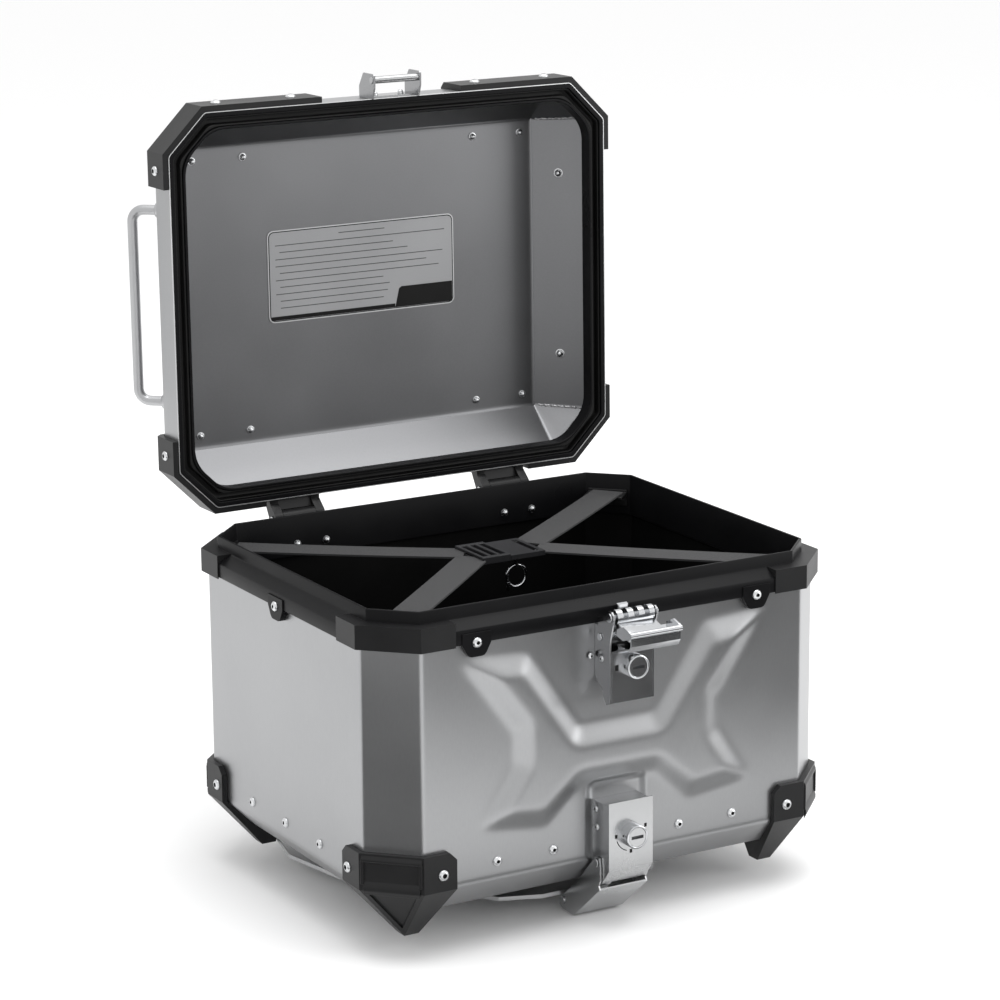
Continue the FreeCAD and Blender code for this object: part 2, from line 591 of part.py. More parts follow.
jaw_angles = [-72 + 92.0 * i / 12 for i in range(13)]
jaw = [polar(JAW_OUT, a) for a in jaw_angles] + [polar(JAW_IN, a) for a in reversed(jaw_angles)]
root = [polar(6.5, -84), polar(JAW_OUT, -72), polar(JAW_OUT, -62), polar(6.5, -50)]
claw = side_plate(jaw, -JAW_X, JAW_X).fuse(side_plate(root, -JAW_X, JAW_X))
parts["latch_claw"] = claw.removeSplitter()

# ---------------------------------------------------------------- base latch
C_Y = -169.5              # claw pivot
C_Z = 55.0
BASE_LOCK_Z = 79.0
y_floor = -BOX_HY + POCKET_DEPTH - 0.15
flange = [(y_floor, 104), (-183.5, 104), (-183.5, 106.5), (-184.5, 106.5), (-184.5, 51.6), (-174, 38.5), (-170.6, 41), (-166, 47),
          (y_floor, 52.8)]
housing = [side_plate(flange, -LATCH_HALF, -LATCH_HALF + LATCH_T),
           side_plate(flange, LATCH_HALF - LATCH_T, LATCH_HALF),
           box(-LATCH_HALF, LATCH_HALF, -184.5, -183.0, 51.6, 106.5),
           box(-LATCH_HALF, LATCH_HALF, y_floor - LATCH_T, y_floor, 66, 104),
           box(-LATCH_HALF, LATCH_HALF, -184.5, y_floor, 102.5, 104),
           strip([(-184.5, 51.8), (-174, 38.5)], 1.5, -LATCH_HALF, LATCH_HALF)]
housing = fuse_all(housing)
housing = housing.cut(cyl(9.05, (0, -190, BASE_LOCK_Z), (0, -175, BASE_LOCK_Z)))
housing = housing.cut(cyl(2.52, (-30, C_Y, C_Z), (30, C_Y, C_Z)))
rivets = []
for s in (-1, 1):
    for y, z in ((-165.5, 97.5), (-167.0, 83.0)):
        rivets.append(dome_screw((s * 20.05, y, z), (s, 0, 0), 2.4, 1.2, 1.4, 2.6))
        housing = housing.cut(cyl(1.45, (s * 24, y, z), (s * 17, y, z)))
parts["base_latch_housing"] = housing
parts["latch_rivets"] = group(latch_rivets + rivets)
parts["base_latch_pin"] = headed_pin(2.5, 3.6, C_Y, C_Z, 22.3, 1.2)
parts["base_lock_body"] = lock_body(BASE_LOCK_Z, -184.5, 15.5)
parts["base_lock_plug"] = lock_plug(BASE_LOCK_Z, -184.5, 15.5)

HOOK_Y = -119.5
HOOK_Z = 8.4
CLAW_OUT = 22.0
cheek = [(-173.2, 59.3), (-168.5, 59.8), (-165.6, 57.5), (-139.5, 29), (-132, 23.5), (-114, 8.4),
         (-113.6, 3.4), (-119, 1.0), (-133.5, 0.6), (-137, 1.8), (-173.8, 33.2), (-172, 36.5),
         (-174.6, 41), (-174.4, 52)]
base_claw = [side_plate(cheek, -CLAW_OUT, -CLAW_OUT + LATCH_T),
             side_plate(cheek, CLAW_OUT - LATCH_T, CLAW_OUT),
             strip([(-133.5, 0.8), (-137, 1.8), (-173.8, 33.2)], -1.5, -CLAW_OUT, CLAW_OUT)]
base_claw = fuse_all(base_claw)
base_claw = base_claw.cut(cyl(2.56, (-30, C_Y, C_Z), (30, C_Y, C_Z)))
base_claw = base_claw.cut(cyl(3.02, (-30, HOOK_Y, HOOK_Z), (30, HOOK_Y, HOOK_Z)))
parts["base_claw"] = base_claw
parts["base_claw_pin"] = cyl(3.0, (-23.2, HOOK_Y, HOOK_Z), (23.2, HOOK_Y, HOOK_Z))

# ---------------------------------------------------------------- rack plate under the case
outline = [(38.8, -116.5), (71.8, -104.4), (156, 5), (168, 70), (157, 114), (100, 135)]
outline = outline + [(-x, y) for x, y in outline[::-1]]
plate = plan_plate(outline, Z_PLATE, Z_PLATE + PLATE_T)
spots = [(sx * RACK_DX / 2, RACK_Y + sy * RACK_DY / 2) for sx in (-1, 1) for sy in (-1, 1)]
for x, y in spots:
    plate = plate.cut(cyl(RACK_HOLE_R, (x, y, 0), (x, y, 30)))
parts["rack_plate"] = plate
parts["rack_spacers"] = group([cyl(11.0, (x, y, 0), (x, y, Z_PLATE - 0.05)).cut(
    cyl(RACK_HOLE_R, (x, y, -1), (x, y, 30))) for x, y in spots])
pads = [(-118, 62), (118, 62), (-62, -62), (62, -62)]
parts["plate_pads"] = group([cyl(13.0, (x, y, Z_PLATE + PLATE_T + 0.05), (x, y, Z_PANEL - 0.05))
                             for x, y in pads])
catch = [(124, Z_PANEL - 0.1), (138.6, Z_PANEL - 0.1), (138.6, 8), (126, 8), (126, 11.4),
         (135.6, 11.4), (135.6, Z_PANEL - 2.6), (124, Z_PANEL - 2.6)]
parts["rear_catches"] = group([side_plate(catch, x - 15, x + 15) for x in (-70, 70)])

# ---------------------------------------------------------------- lid, drawn closed
fold_in = STEP_IN * SHEET
lid_x = BOX_HX + LID_OUT
lid_y = BOX_HY + LID_OUT
lid = tub(LID_OUT, Z_LID, Z_LID_BAND, Z_LID_TOP, lid_x - LID_BEVEL, lid_y - LID_BEVEL)
lid = lid.cut(tub(LID_OUT - SHEET, Z_LID - 5, Z_LID_BAND - fold_in, Z_LID_TOP - SHEET,
                  lid_x - LID_BEVEL - fold_in, lid_y - LID_BEVEL - fold_in))
FRAME_OUT = LID_OUT - SHEET - 0.15
channel = ring(FRAME_OUT, FRAME_OUT - 2.3, Z_LID + 0.4, 281.0)
channel = channel.fuse(ring(FRAME_OUT, -15.5, 279.0, 281.0))
channel = channel.fuse(ring(-13.4, -15.5, Z_LID - 0.6, 281.0))
lid_parts["lid_frame"] = channel.removeSplitter()
seal = ring(-5.2, -13.3, 276.2, 278.9)
seal = seal.fuse(ring(-5.2, -6.6, 269.8, 277.0)).fuse(ring(-11.4, -13.3, 269.8, 277.0))
lid_parts["lid_seal"] = seal.removeSplitter()

COVER_OUT = 4.2
COVER_X = 65.0
COVER_BACK_X = 126.0
COVER_Y = 103.0
Z_COVER = 303.0
grow = COVER_OUT - LID_OUT
cover = tub(COVER_OUT, Z_LID, Z_LID_BAND + STEP_IN * grow, Z_LID_TOP + grow,
            lid_x - LID_BEVEL + STEP_IN * grow, lid_y - LID_BEVEL + STEP_IN * grow)
skin = LID_OUT + 0.15
cover = cover.cut(tub(skin, Z_LID - 5, Z_LID_BAND + 0.06, Z_LID_TOP + 0.15,
                      lid_x - LID_BEVEL + 0.06, lid_y - LID_BEVEL + 0.06))
front_cover = cover.common(box(-BIG, -COVER_X, -BIG, -COVER_Y, 0, Z_COVER))
back_cover = cover.common(box(-BIG, -COVER_BACK_X, COVER_Y, BIG, 0, Z_COVER))
Z_COVER_SCREW = 283.5
screws = []
holes = []
for s in (-1, 1):
    for x in (86.5, 154.0):
        screws.append(dome_screw((s * x, -BOX_HY - COVER_OUT - 0.05, Z_COVER_SCREW), (0, -1, 0),
                                 4.0, 2.1, 2.0, 7.0))
        holes.append(cyl(2.06, (s * x, -BIG, Z_COVER_SCREW), (s * x, -BOX_HY + 4, Z_COVER_SCREW)))
    screws.append(dome_screw((s * 148.0, BOX_HY + COVER_OUT + 0.05, Z_COVER_SCREW), (0, 1, 0),
                             4.0, 2.1, 2.0, 7.0))
    holes.append(cyl(2.06, (s * 148, BIG, Z_COVER_SCREW), (s * 148, BOX_HY - 4, Z_COVER_SCREW)))
    for y in (-117.0, 117.0):
        p = (s * (BOX_HX + COVER_OUT + 0.05), y, Z_COVER_SCREW)
        screws.append(dome_screw(p, (s, 0, 0), 4.0, 2.1, 2.0, 7.0))
        holes.append(cyl(2.06, (s * BIG, y, Z_COVER_SCREW), (s * (BOX_HX - 4), y, Z_COVER_SCREW)))
cover_holes = group(holes)
front_cover = front_cover.cut(cover_holes)
back_cover = back_cover.cut(cover_holes)
lid_parts["lid_corner_front_left"] = front_cover
lid_parts["lid_corner_front_right"] = mirror_x(front_cover)
lid_parts["lid_corner_back_left"] = back_cover
lid_parts["lid_corner_back_right"] = mirror_x(back_cover)

# striker on the front of the lid
STRIKE_Y = -178.5
STRIKE_Z = 263.0
y_band = -BOX_HY - LID_OUT - 0.15
cheek = [(y_band, 262.6), (-172, 259.2), (-182.4, 258.9), (-183.6, 260), (-183.6, 277.5),
         (-172.5, 285), (y_band, 285)]
striker = fuse_all([side_plate(cheek, -22.2, -20.6), side_plate(cheek, 20.6, 22.2),
                    box(-22.2, 22.2, y_band - 1.5, y_band, 269.2, 285)])
striker = striker.cut(cyl(3.02, (-30, STRIKE_Y, STRIKE_Z), (30, STRIKE_Y, STRIKE_Z)))
strike_rivets = []
for s in (-1, 1):
    strike_rivets.append(dome_screw((s * 12, y_band - 1.55, 277), (0, -1, 0), 2.5, 1.3, 1.5, 3.2))
    striker = striker.cut(cyl(1.55, (s * 12, -180, 277), (s * 12, -150, 277)))
    lid_holes.append(cyl(1.55, (s * 12, -180, 277), (s * 12, -150, 277)))
lid_parts["striker_bracket"] = striker
lid_parts["striker_bar"] = cyl(3.0, (-22.8, STRIKE_Y, STRIKE_Z), (22.8, STRIKE_Y, STRIKE_Z))
lid_parts["lid_screws"] = group(lid_bolts + screws + strike_rivets)

# side handles, square to the side bevels
HANDLE_Y = 79.5
HANDLE_R = 4.2
HANDLE_REACH = 30.0
BEND_R = 10.0
n_out = V(-1, 0, 1).normalize()
foot = V(-lid_x + LID_BEVEL / 2, 0, Z_LID_BAND + LID_BEVEL / 2)


def handle():
    a = foot + V(0, -HANDLE_Y, 0)
    b = foot + V(0, HANDLE_Y, 0)
    a0 = a + n_out * 0.1
    a1 = a + n_out * (HANDLE_REACH - BEND_R)
    a2 = a + n_out * HANDLE_REACH + V(0, BEND_R, 0)
    b2 = b + n_out * HANDLE_REACH - V(0, BEND_R, 0)
    b1 = b + n_out * (HANDLE_REACH - BEND_R)
    b0 = b + n_out * 0.1
    bend = BEND_R * (1.0 - math.sqrt(0.5))
    am = a + n_out * (HANDLE_REACH - bend) + V(0, bend, 0)
    bm = b + n_out * (HANDLE_REACH - bend) - V(0, bend, 0)
    wire = Part.Wire([Part.makeLine(a0, a1), Part.Arc(a1, am, a2).toShape(), Part.makeLine(a2, b2),
                      Part.Arc(b2, bm, b1).toShape(), Part.makeLine(b1, b0)])
    section = Part.Wire(Part.makeCircle(HANDLE_R, a0, n_out))
    tube = wire.makePipeShell([section], True, False)
    for p in (a, b):
        tube = tube.cut(Part.makeCylinder(2.55, 12, p, n_out))
    return tube


left_handle = handle()
lid_parts["handle_left"] = left_handle
lid_parts["handle_right"] = mirror_x(left_handle)
collars = []
nuts = []
for s in (-1, 1):
    p = foot + V(0, s * HANDLE_Y, 0)
    collar = Part.makeCone(7.4, 6.4, 9.0, p + n_out * 0.1, n_out)
    collar = collar.cut(Part.makeCylinder(HANDLE_R + 0.05, 20, p, n_out))
    back = -n_out
    inner_face = p + back * (SHEET + 0.05)
    nut = Part.makeCylinder(5.0, 1.2, inner_face, back)
    nut = nut.fuse(dome_screw(inner_face + back * 1.2, (back.x, back.y, back.z), 3.9, 3.6, 2.5, 13.0))
    collars += [collar, mirror_x(collar)]
    nuts += [nut, mirror_x(nut)]
    hole = Part.makeCylinder(2.55, 8, p + back * 4, n_out)
    lid_holes += [hole, mirror_x(hole)]
lid_parts["handle_collars"] = group(collars)

# lashing eyes on the lid
EYE_X0 = 109.5
EYE_X1 = 156.0
EYE_Y = 115.3
eyes = []
eye_bolts = []
mid = (EYE_X0 + EYE_X1) / 2
z_top = Z_LID_TOP + 0.1
half = (EYE_X1 - EYE_X0) / 2
eye_plate = box(mid - half - 7, mid + half + 7, EYE_Y - 7, EYE_Y + 7, z_top, z_top + 4)
hoop = Part.makeTorus(11.0, 3.0, V(mid, EYE_Y, z_top + 5), V(0, 1, 0))
hoop = hoop.common(box(mid - 20, mid + 20, EYE_Y - 9, EYE_Y + 9, z_top + 2, z_top + 30))
lash = eye_plate.fuse(hoop)
for x in (EYE_X0, EYE_X1):
    lash = lash.cut(cyl(2.05, (x, EYE_Y, 300), (x, EYE_Y, 360)))
    bolt = dome_screw((x, EYE_Y, z_top + 4.05), (0, 0, 1), 3.8, 1.9, 2.0, 10.0)
    z_in = Z_LID_TOP - SHEET - 0.05
    nut = dome_screw((x, EYE_Y, z_in), (0, 0, -1), 3.8, 3.6, 2.0, 0.1)
    eye_bolts.append(bolt.fuse(nut))
    for turn in flip.values():
        lid_holes.append(turn(cyl(2.05, (x, EYE_Y, 320), (x, EYE_Y, 350))))
lash = lash.removeSplitter()
lid_parts["lash_eyes"] = group([turn(lash) for turn in flip.values()])
lid_parts["lid_bolts"] = group(nuts + [turn(b) for turn in flip.values() for b in eye_bolts])

# information plate inside the lid
LABEL_X = 89.0
LABEL_Y0 = -51.0
LABEL_Y1 = 27.0
label = box(-LABEL_X, LABEL_X, LABEL_Y0, LABEL_Y1, Z_LID_TOP - SHEET - 0.9, Z_LID_TOP - SHEET - 0.1)
edges = [e for e in label.Edges if abs(e.BoundBox.ZLength) > 0.5]
lid_parts["label_plate"] = label.makeFillet(5.0, edges)

lid_parts["lid_shell"] = lid.cut(cover_holes).cut(group(lid_holes))

# holes in the box wall
latch_holes = [cyl(1.45, (s * 23.2, -BOX_HY - 5, 221), (s * 23.2, -BOX_HY + 5, 221)) for s in (-1, 1)]
wall_holes = shell_holes + latch_holes
for s in (-1, 1):
    for x in (-107.3, -57.4, 57.4, 107.3):
        wall_holes.append(cyl(2.05, (x, s * (BOX_HY - 6), Z_RIVET), (x, s * (BOX_HY + 6), Z_RIVET)))
    for y in (-58.5, 0.0, 58.5):
        wall_holes.append(cyl(2.05, (s * (BOX_HX - 6), y, Z_RIVET), (s * (BOX_HX + 6), y, Z_RIVET)))
parts["body_shell"] = parts["body_shell"].cut(group(wall_holes))

# ---------------------------------------------------------------- open the lid and write
os.makedirs("parts", exist_ok=True)
for name, shape in lid_parts.items():
    opened = shape.copy()
    opened.rotate(V(0, HINGE_Y, HINGE_Z), V(1, 0, 0), -OPEN_DEG)
    parts[name] = opened
for name, shape in parts.items():
    moved = shape.copy()
    moved.translate(V(0, -RACK_Y, 0))
    moved.exportStep("parts/" + name + ".step")
    print(name, len(moved.Solids), round(moved.Volume / 1000.0, 1), moved.isValid())
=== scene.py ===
import bpy
import bmesh
import json
import math
import numpy as np
from mathutils import Vector, Matrix


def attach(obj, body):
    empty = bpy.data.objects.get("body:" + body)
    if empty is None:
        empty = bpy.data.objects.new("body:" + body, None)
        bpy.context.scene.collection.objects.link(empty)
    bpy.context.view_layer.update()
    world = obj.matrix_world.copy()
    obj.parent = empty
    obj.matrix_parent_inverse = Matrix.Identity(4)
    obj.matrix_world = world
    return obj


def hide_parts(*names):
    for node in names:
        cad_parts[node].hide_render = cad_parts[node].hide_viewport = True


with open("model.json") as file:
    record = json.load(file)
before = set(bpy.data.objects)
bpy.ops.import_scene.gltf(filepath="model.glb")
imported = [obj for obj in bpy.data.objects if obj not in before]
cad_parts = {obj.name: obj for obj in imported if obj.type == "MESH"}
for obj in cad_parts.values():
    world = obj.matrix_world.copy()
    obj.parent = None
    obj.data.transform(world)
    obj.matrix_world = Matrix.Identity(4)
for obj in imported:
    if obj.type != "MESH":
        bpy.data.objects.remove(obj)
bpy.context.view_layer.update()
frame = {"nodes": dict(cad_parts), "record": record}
nodes = frame["nodes"]

# Shapes are drawn in millimetres about the centre of the box, the lid as if shut,
# and then moved into the row frame in metres.
MM = 0.001
RACK_Y = 65.0                         # rack bolts lie this far behind the centre of the box
HX, HY, CORNER = 205.0, 163.5, 33.5   # half length, half width and corner cut of the box wall
PANEL_CUT = 12.0                      # what is left of the corner cut at the floor panel
WALL_BEVEL = 25.0                     # the bottom bevel runs in and down by this much
Z_FOLD, Z_FLOOR = 57.0, 32.0
Z_WALL_TOP = 257.5
DIAG = 2.0 - math.sqrt(2.0)           # growth of a corner cut for each mm of offset
HINGE_X, HINGE_Y, HINGE_Z = 99.0, 178.8, 267.0
HINGE_BOLT_DX = 13.5
OPEN = math.radians(-90.7)
LID_GAP = 0.8                         # the lid wall stands this far inside the box wall line
LID_HX, LID_HY = HX - LID_GAP, HY - LID_GAP
LID_CORNER = CORNER - DIAG * LID_GAP
LID_BEVEL = 35.0
LID_SKIN = 1.8
Z_LID, Z_LID_BAND = 268.7, 296.2
Z_LID_TOP = Z_LID_BAND + LID_BEVEL
HANDLE_Y = 79.5
LASH_Y = 115.3
WALL_RIVET_Z = 70.5
LATCH_LOCK_Z, LATCH_FACE_Y = 216.0, -185.5
BASE_LOCK_Z, BASE_FACE_Y = 79.0, -184.5
HALF_RIGHT = math.radians(45)
K = math.sqrt(0.5)

TO_ROW = Matrix.Scale(MM, 4) @ Matrix.Translation((0, -RACK_Y, 0))
TO_LID = (Matrix.Scale(MM, 4) @ Matrix.Translation((0, HINGE_Y - RACK_Y, HINGE_Z))
          @ Matrix.Rotation(OPEN, 4, "X") @ Matrix.Translation((0, -HINGE_Y, -HINGE_Z)))


# ------------------------------------------------------------------ materials
def tree(name):
    m = bpy.data.materials.new(name)
    m.use_nodes = True
    return m, m.node_tree, m.node_tree.nodes["Principled BSDF"]


def node(nt, kind, **values):
    n = nt.nodes.new(kind)
    for k, v in values.items():
        if k.startswith("in_"):
            n.inputs[k[3:].replace("_", " ")].default_value = v
        else:
            setattr(n, k, v)
    return n


def ramp(nt, source, low, high, a, b):
    r = node(nt, "ShaderNodeMapRange")
    r.inputs["From Min"].default_value = a
    r.inputs["From Max"].default_value = b
    r.inputs["To Min"].default_value = low
    r.inputs["To Max"].default_value = high
    nt.links.new(source, r.inputs["Value"])
    return r.outputs["Result"]


def mixed(nt, fac, c0, c1):
    m = node(nt, "ShaderNodeMix", data_type="RGBA")
    m.inputs["A"].default_value = (*c0, 1)
    m.inputs["B"].default_value = (*c1, 1)
    nt.links.new(fac, m.inputs["Factor"])
    return m.outputs["Result"]


def coords(nt, scale=(1, 1, 1), turn=(0, 0, 0), kind="Object"):
    t = node(nt, "ShaderNodeTexCoord")
    m = node(nt, "ShaderNodeMapping")
    m.inputs["Scale"].default_value = scale
    m.inputs["Rotation"].default_value = turn
    nt.links.new(t.outputs[kind], m.inputs["Vector"])
    return m.outputs["Vector"]


def noise(nt, vector, scale, detail=4.0, rough=0.5):
    n = node(nt, "ShaderNodeTexNoise", in_Scale=scale, in_Detail=detail, in_Roughness=rough)
    nt.links.new(vector, n.inputs["Vector"])
    return n.outputs["Fac"]


def bump(nt, height, strength, distance, shader, chain=None):
    b = node(nt, "ShaderNodeBump", in_Strength=strength, in_Distance=distance)
    nt.links.new(height, b.inputs["Height"])
    if chain is not None:
        nt.links.new(chain, b.inputs["Normal"])
    nt.links.new(b.outputs["Normal"], shader.inputs["Normal"])
    return b.outputs["Normal"]


def metal(name, dark, light, rough_lo, rough_hi, grain=(1, 1, 1), grain_scale=900, grain_bump=0.06,
          cloud=6.0, metallic=1.0):
    """Sheet metal: cloudy tone, fine directional grain in colour, roughness and bump."""
    m, nt, s = tree(name)
    s.inputs["Metallic"].default_value = metallic
    v = coords(nt)
    g = noise(nt, coords(nt, grain), grain_scale, 3.0, 0.6)
    c = noise(nt, v, cloud, 3.0, 0.5)
    mix = node(nt, "ShaderNodeMath", operation="MULTIPLY_ADD")
    nt.links.new(g, mix.inputs[0])
    mix.inputs[1].default_value = 0.35
    nt.links.new(c, mix.inputs[2])
    nt.links.new(mixed(nt, ramp(nt, mix.outputs[0], 0, 1, 0.45, 0.95), dark, light), s.inputs["Base Color"])
    nt.links.new(ramp(nt, mix.outputs[0], rough_lo, rough_hi, 0.4, 1.0), s.inputs["Roughness"])
    bump(nt, g, grain_bump, 0.0002, s)
    return m


def plastic(name, dark, light, rough_lo, rough_hi, grain_scale=1400, grain_bump=0.18, shine=0.3):
    """Moulded plastic: fine spark-eroded grain and a slight change of tone and gloss."""
    m, nt, s = tree(name)
    v = coords(nt)
    g = noise(nt, v, grain_scale, 2.0, 0.6)
    c = noise(nt, v, 9.0, 4.0, 0.6)
    nt.links.new(mixed(nt, ramp(nt, c, 0, 1, 0.3, 0.7), dark, light), s.inputs["Base Color"])
    nt.links.new(ramp(nt, c, rough_lo, rough_hi, 0.3, 0.7), s.inputs["Roughness"])
    s.inputs["Specular IOR Level"].default_value = shine
    bump(nt, g, grain_bump, 0.0002, s)
    return m


def webbing(name, tone, light):
    """Woven strap, from the strap's own length and width coordinates in millimetres."""
    m, nt, s = tree(name)
    u = coords(nt, kind="UV")
    rib = node(nt, "ShaderNodeTexWave", wave_type="BANDS", bands_direction="X", in_Scale=0.55,
               in_Distortion=0.4, in_Detail=1.0)
    nt.links.new(u, rib.inputs["Vector"])
    warp = node(nt, "ShaderNodeTexWave", wave_type="BANDS", bands_direction="Y", in_Scale=0.4,
                in_Distortion=0.3, in_Detail=1.0)
    nt.links.new(u, warp.inputs["Vector"])
    both = node(nt, "ShaderNodeMath", operation="MULTIPLY")
    nt.links.new(rib.outputs["Fac"], both.inputs[0])
    nt.links.new(warp.outputs["Fac"], both.inputs[1])
    fuzz = noise(nt, coords(nt), 2500, 2.0, 0.7)
    add = node(nt, "ShaderNodeMath", operation="MULTIPLY_ADD")
    nt.links.new(fuzz, add.inputs[0])
    add.inputs[1].default_value = 0.5
    nt.links.new(both.outputs[0], add.inputs[2])
    nt.links.new(mixed(nt, ramp(nt, add.outputs[0], 0, 1, 0.1, 1.1), tone, light), s.inputs["Base Color"])
    nt.links.new(ramp(nt, add.outputs[0], 0.85, 0.65, 0.1, 1.1), s.inputs["Roughness"])
    s.inputs["Sheen Weight"].default_value = 0.1
    bump(nt, add.outputs[0], 0.6, 0.0005, s)
    return m


SHEET_OUT = metal("satin_aluminium", (0.33, 0.333, 0.34), (0.385, 0.389, 0.395), 0.3, 0.38,
                  (1, 1, 0.25), 700, 0.05)
# The inside of the lid is the same aluminium sheet with a darker base colour: painted shade and a painted
# dark reflection on the inner panel.
LID_IN_PAINTED_SHADE = metal("lid_panel_painted_shade", (0.2, 0.202, 0.208), (0.245, 0.247, 0.254), 0.3, 0.38,
               (1, 0.3, 1), 800, 0.06)
BLACK = plastic("black_moulded", (0.007, 0.007, 0.0075), (0.012, 0.012, 0.0125), 0.34, 0.46, shine=0.26)
BLACK_RIM = plastic("black_rim", (0.004, 0.004, 0.0045), (0.007, 0.007, 0.0075), 0.26, 0.38,
                    1100, 0.1, shine=0.1)
RUBBER = plastic("black_rubber", (0.006, 0.006, 0.006), (0.011, 0.011, 0.011), 0.4, 0.6, 900, 0.25, shine=0.2)
LINER = plastic("black_lining", (0.003, 0.003, 0.003), (0.006, 0.006, 0.006), 0.6, 0.8, 1600, 0.5, shine=0.05)
GLOSS = plastic("black_buckle", (0.012, 0.012, 0.013), (0.024, 0.024, 0.026), 0.3, 0.42, 900, 0.08, shine=0.3)
CHROME = metal("latch_chrome", (0.56, 0.57, 0.585), (0.68, 0.69, 0.705), 0.12, 0.22,
               (1, 1, 1), 1500, 0.04, 20)
# Darker copy of the chrome with a painted dark reflection in its colour; used for the latch plate, latch
# housing, lock plug and striker bracket.
CHROME_PAINTED_DARK = metal("chrome_painted_dark_reflection", (0.3, 0.303, 0.31), (0.38, 0.383, 0.39), 0.18, 0.28, (1, 1, 1), 1300, 0.05, 16)
STEEL = metal("brushed_steel", (0.42, 0.425, 0.43), (0.52, 0.525, 0.53), 0.2, 0.3,
              (1, 1, 0.3), 1200, 0.03, 14)
# Much lighter aluminium for a thin strip at the lid's lower edge: a painted highlight along that edge.
EDGE = metal("aluminium_painted_highlight", (0.66, 0.665, 0.67), (0.78, 0.785, 0.79), 0.3, 0.4,
             (1, 1, 1), 900, 0.05, 12)
ZINC = metal("zinc_fastener", (0.6, 0.61, 0.62), (0.76, 0.77, 0.78), 0.22, 0.38, (1, 1, 1), 1600, 0.08, 60)
TUBE = metal("anodised_tube", (0.42, 0.424, 0.432), (0.5, 0.504, 0.512), 0.3, 0.4, (1, 1, 1), 1200, 0.05, 14)
PLATE = metal("coated_plate", (0.45, 0.455, 0.46), (0.56, 0.565, 0.57), 0.34, 0.46, (1, 1, 1), 900, 0.08, 12)
LABEL = metal("label_film", (0.3, 0.303, 0.31), (0.36, 0.363, 0.37), 0.4, 0.5, (1, 1, 1), 1300, 0.03, 8, 0.6)
LABEL_EDGE = metal("label_border", (0.5, 0.505, 0.51), (0.6, 0.605, 0.61), 0.34, 0.44,
                   (1, 1, 1), 1300, 0.03, 8, 0.6)
LABEL_INK = plastic("label_ink", (0.006, 0.006, 0.006), (0.011, 0.011, 0.011), 0.4, 0.5, shine=0.1)
LABEL_LINE = plastic("label_rule", (0.06, 0.06, 0.061), (0.085, 0.085, 0.086), 0.45, 0.55, shine=0.1)
WEB = webbing("strap_webbing", (0.012, 0.012, 0.013), (0.042, 0.042, 0.044))
# Near-black for the rivet hollows and hexagon sockets, which is painted shade in those recesses; the same
# material is the real ink of the latch tick and lock marks.
HOLLOW_SHADE_AND_INK = plastic("hollow_shade_and_mark_ink", (0.004, 0.004, 0.004), (0.008, 0.008, 0.008), 0.7, 0.8)
WELD = metal("weld_bead", (0.42, 0.42, 0.43), (0.66, 0.66, 0.67), 0.25, 0.5, (1, 1, 1), 500, 0.5, 90)


# ------------------------------------------------------------------ mesh helpers
def shade(obj, angle=32):
    me = obj.data
    me.polygons.foreach_set("use_smooth", [True] * len(me.polygons))
    me.set_sharp_from_angle(angle=math.radians(angle))
    return obj


def piece(name, bm, body, mats, lid=False, angle=32, bevel=0.0, segments=3, limit=30, move=True):
    """A bmesh in drawing millimetres becomes a piece of the object."""
    if move:
        bm.transform(TO_LID if lid else TO_ROW)
    bmesh.ops.recalc_face_normals(bm, faces=bm.faces)
    me = bpy.data.meshes.new(name)
    bm.to_mesh(me)
    bm.free()
    obj = bpy.data.objects.new(name, me)
    bpy.context.scene.collection.objects.link(obj)
    for m in (mats if isinstance(mats, (list, tuple)) else [mats]):
        me.materials.append(m)
    shade(obj, angle)
    if bevel > 0:
        mod = obj.modifiers.new("edges", "BEVEL")
        mod.width = bevel * MM
        mod.segments = segments
        mod.limit_method = "ANGLE"
        mod.angle_limit = math.radians(limit)
        mod.harden_normals = True
        mod.use_clamp_overlap = True
    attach(obj, body)
    return obj


def body_of(node_name):
    for b, members in frame["record"]["behaviour"]["bodies"].items():
        if node_name in members:
            return b


def rounded(x0, x1, y0, y1, r, n=6):
    """Outline of a rectangle with rounded corners."""
    out = []
    for cx, cy, a0 in ((x1 - r, y1 - r, 0), (x0 + r, y1 - r, 90),
                       (x0 + r, y0 + r, 180), (x1 - r, y0 + r, 270)):
        for i in range(n + 1):
            a = math.radians(a0 + 90 * i / n)
            out.append((cx + r * math.cos(a), cy + r * math.sin(a)))
    return out


def refine(node_name, mats, bevel=0.5, segments=3, limit=28, angle=32, dissolve=0.6):
    """The CAD node's own shape with its edges broken, in place of the bare node."""
    bm = bmesh.new()
    bm.from_mesh(nodes[node_name].data)
    bmesh.ops.remove_doubles(bm, verts=bm.verts, dist=3e-6)
    bmesh.ops.dissolve_limit(bm, angle_limit=math.radians(dissolve), verts=bm.verts, edges=bm.edges)
    obj = piece(node_name + "_fine", bm, body_of(node_name), mats,
                angle=angle, bevel=bevel, segments=segments, limit=limit, move=False)
    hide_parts(node_name)
    return obj


def arc_corner(p, a, b, radius, n):
    """Rounds the plan corner p between directions to a and b."""
    p, a, b = Vector(p), Vector(a), Vector(b)
    u = (a - p).normalized()
    v = (b - p).normalized()
    turn = math.acos(max(-1, min(1, u.dot(v))))
    if radius < 1e-4:
        return [p.copy() for _ in range(n + 1)]
    t = radius / math.tan(turn / 2)
    centre = p + (u + v).normalized() * (radius / math.sin(turn / 2))
    start = p + u * t - centre
    end = p + v * t - centre
    total = start.angle(end)
    out = []
    for i in range(n + 1):
        w = i / n
        out.append(centre + (start * math.sin((1 - w) * total) + end * math.sin(w * total)) / math.sin(total))
    return out


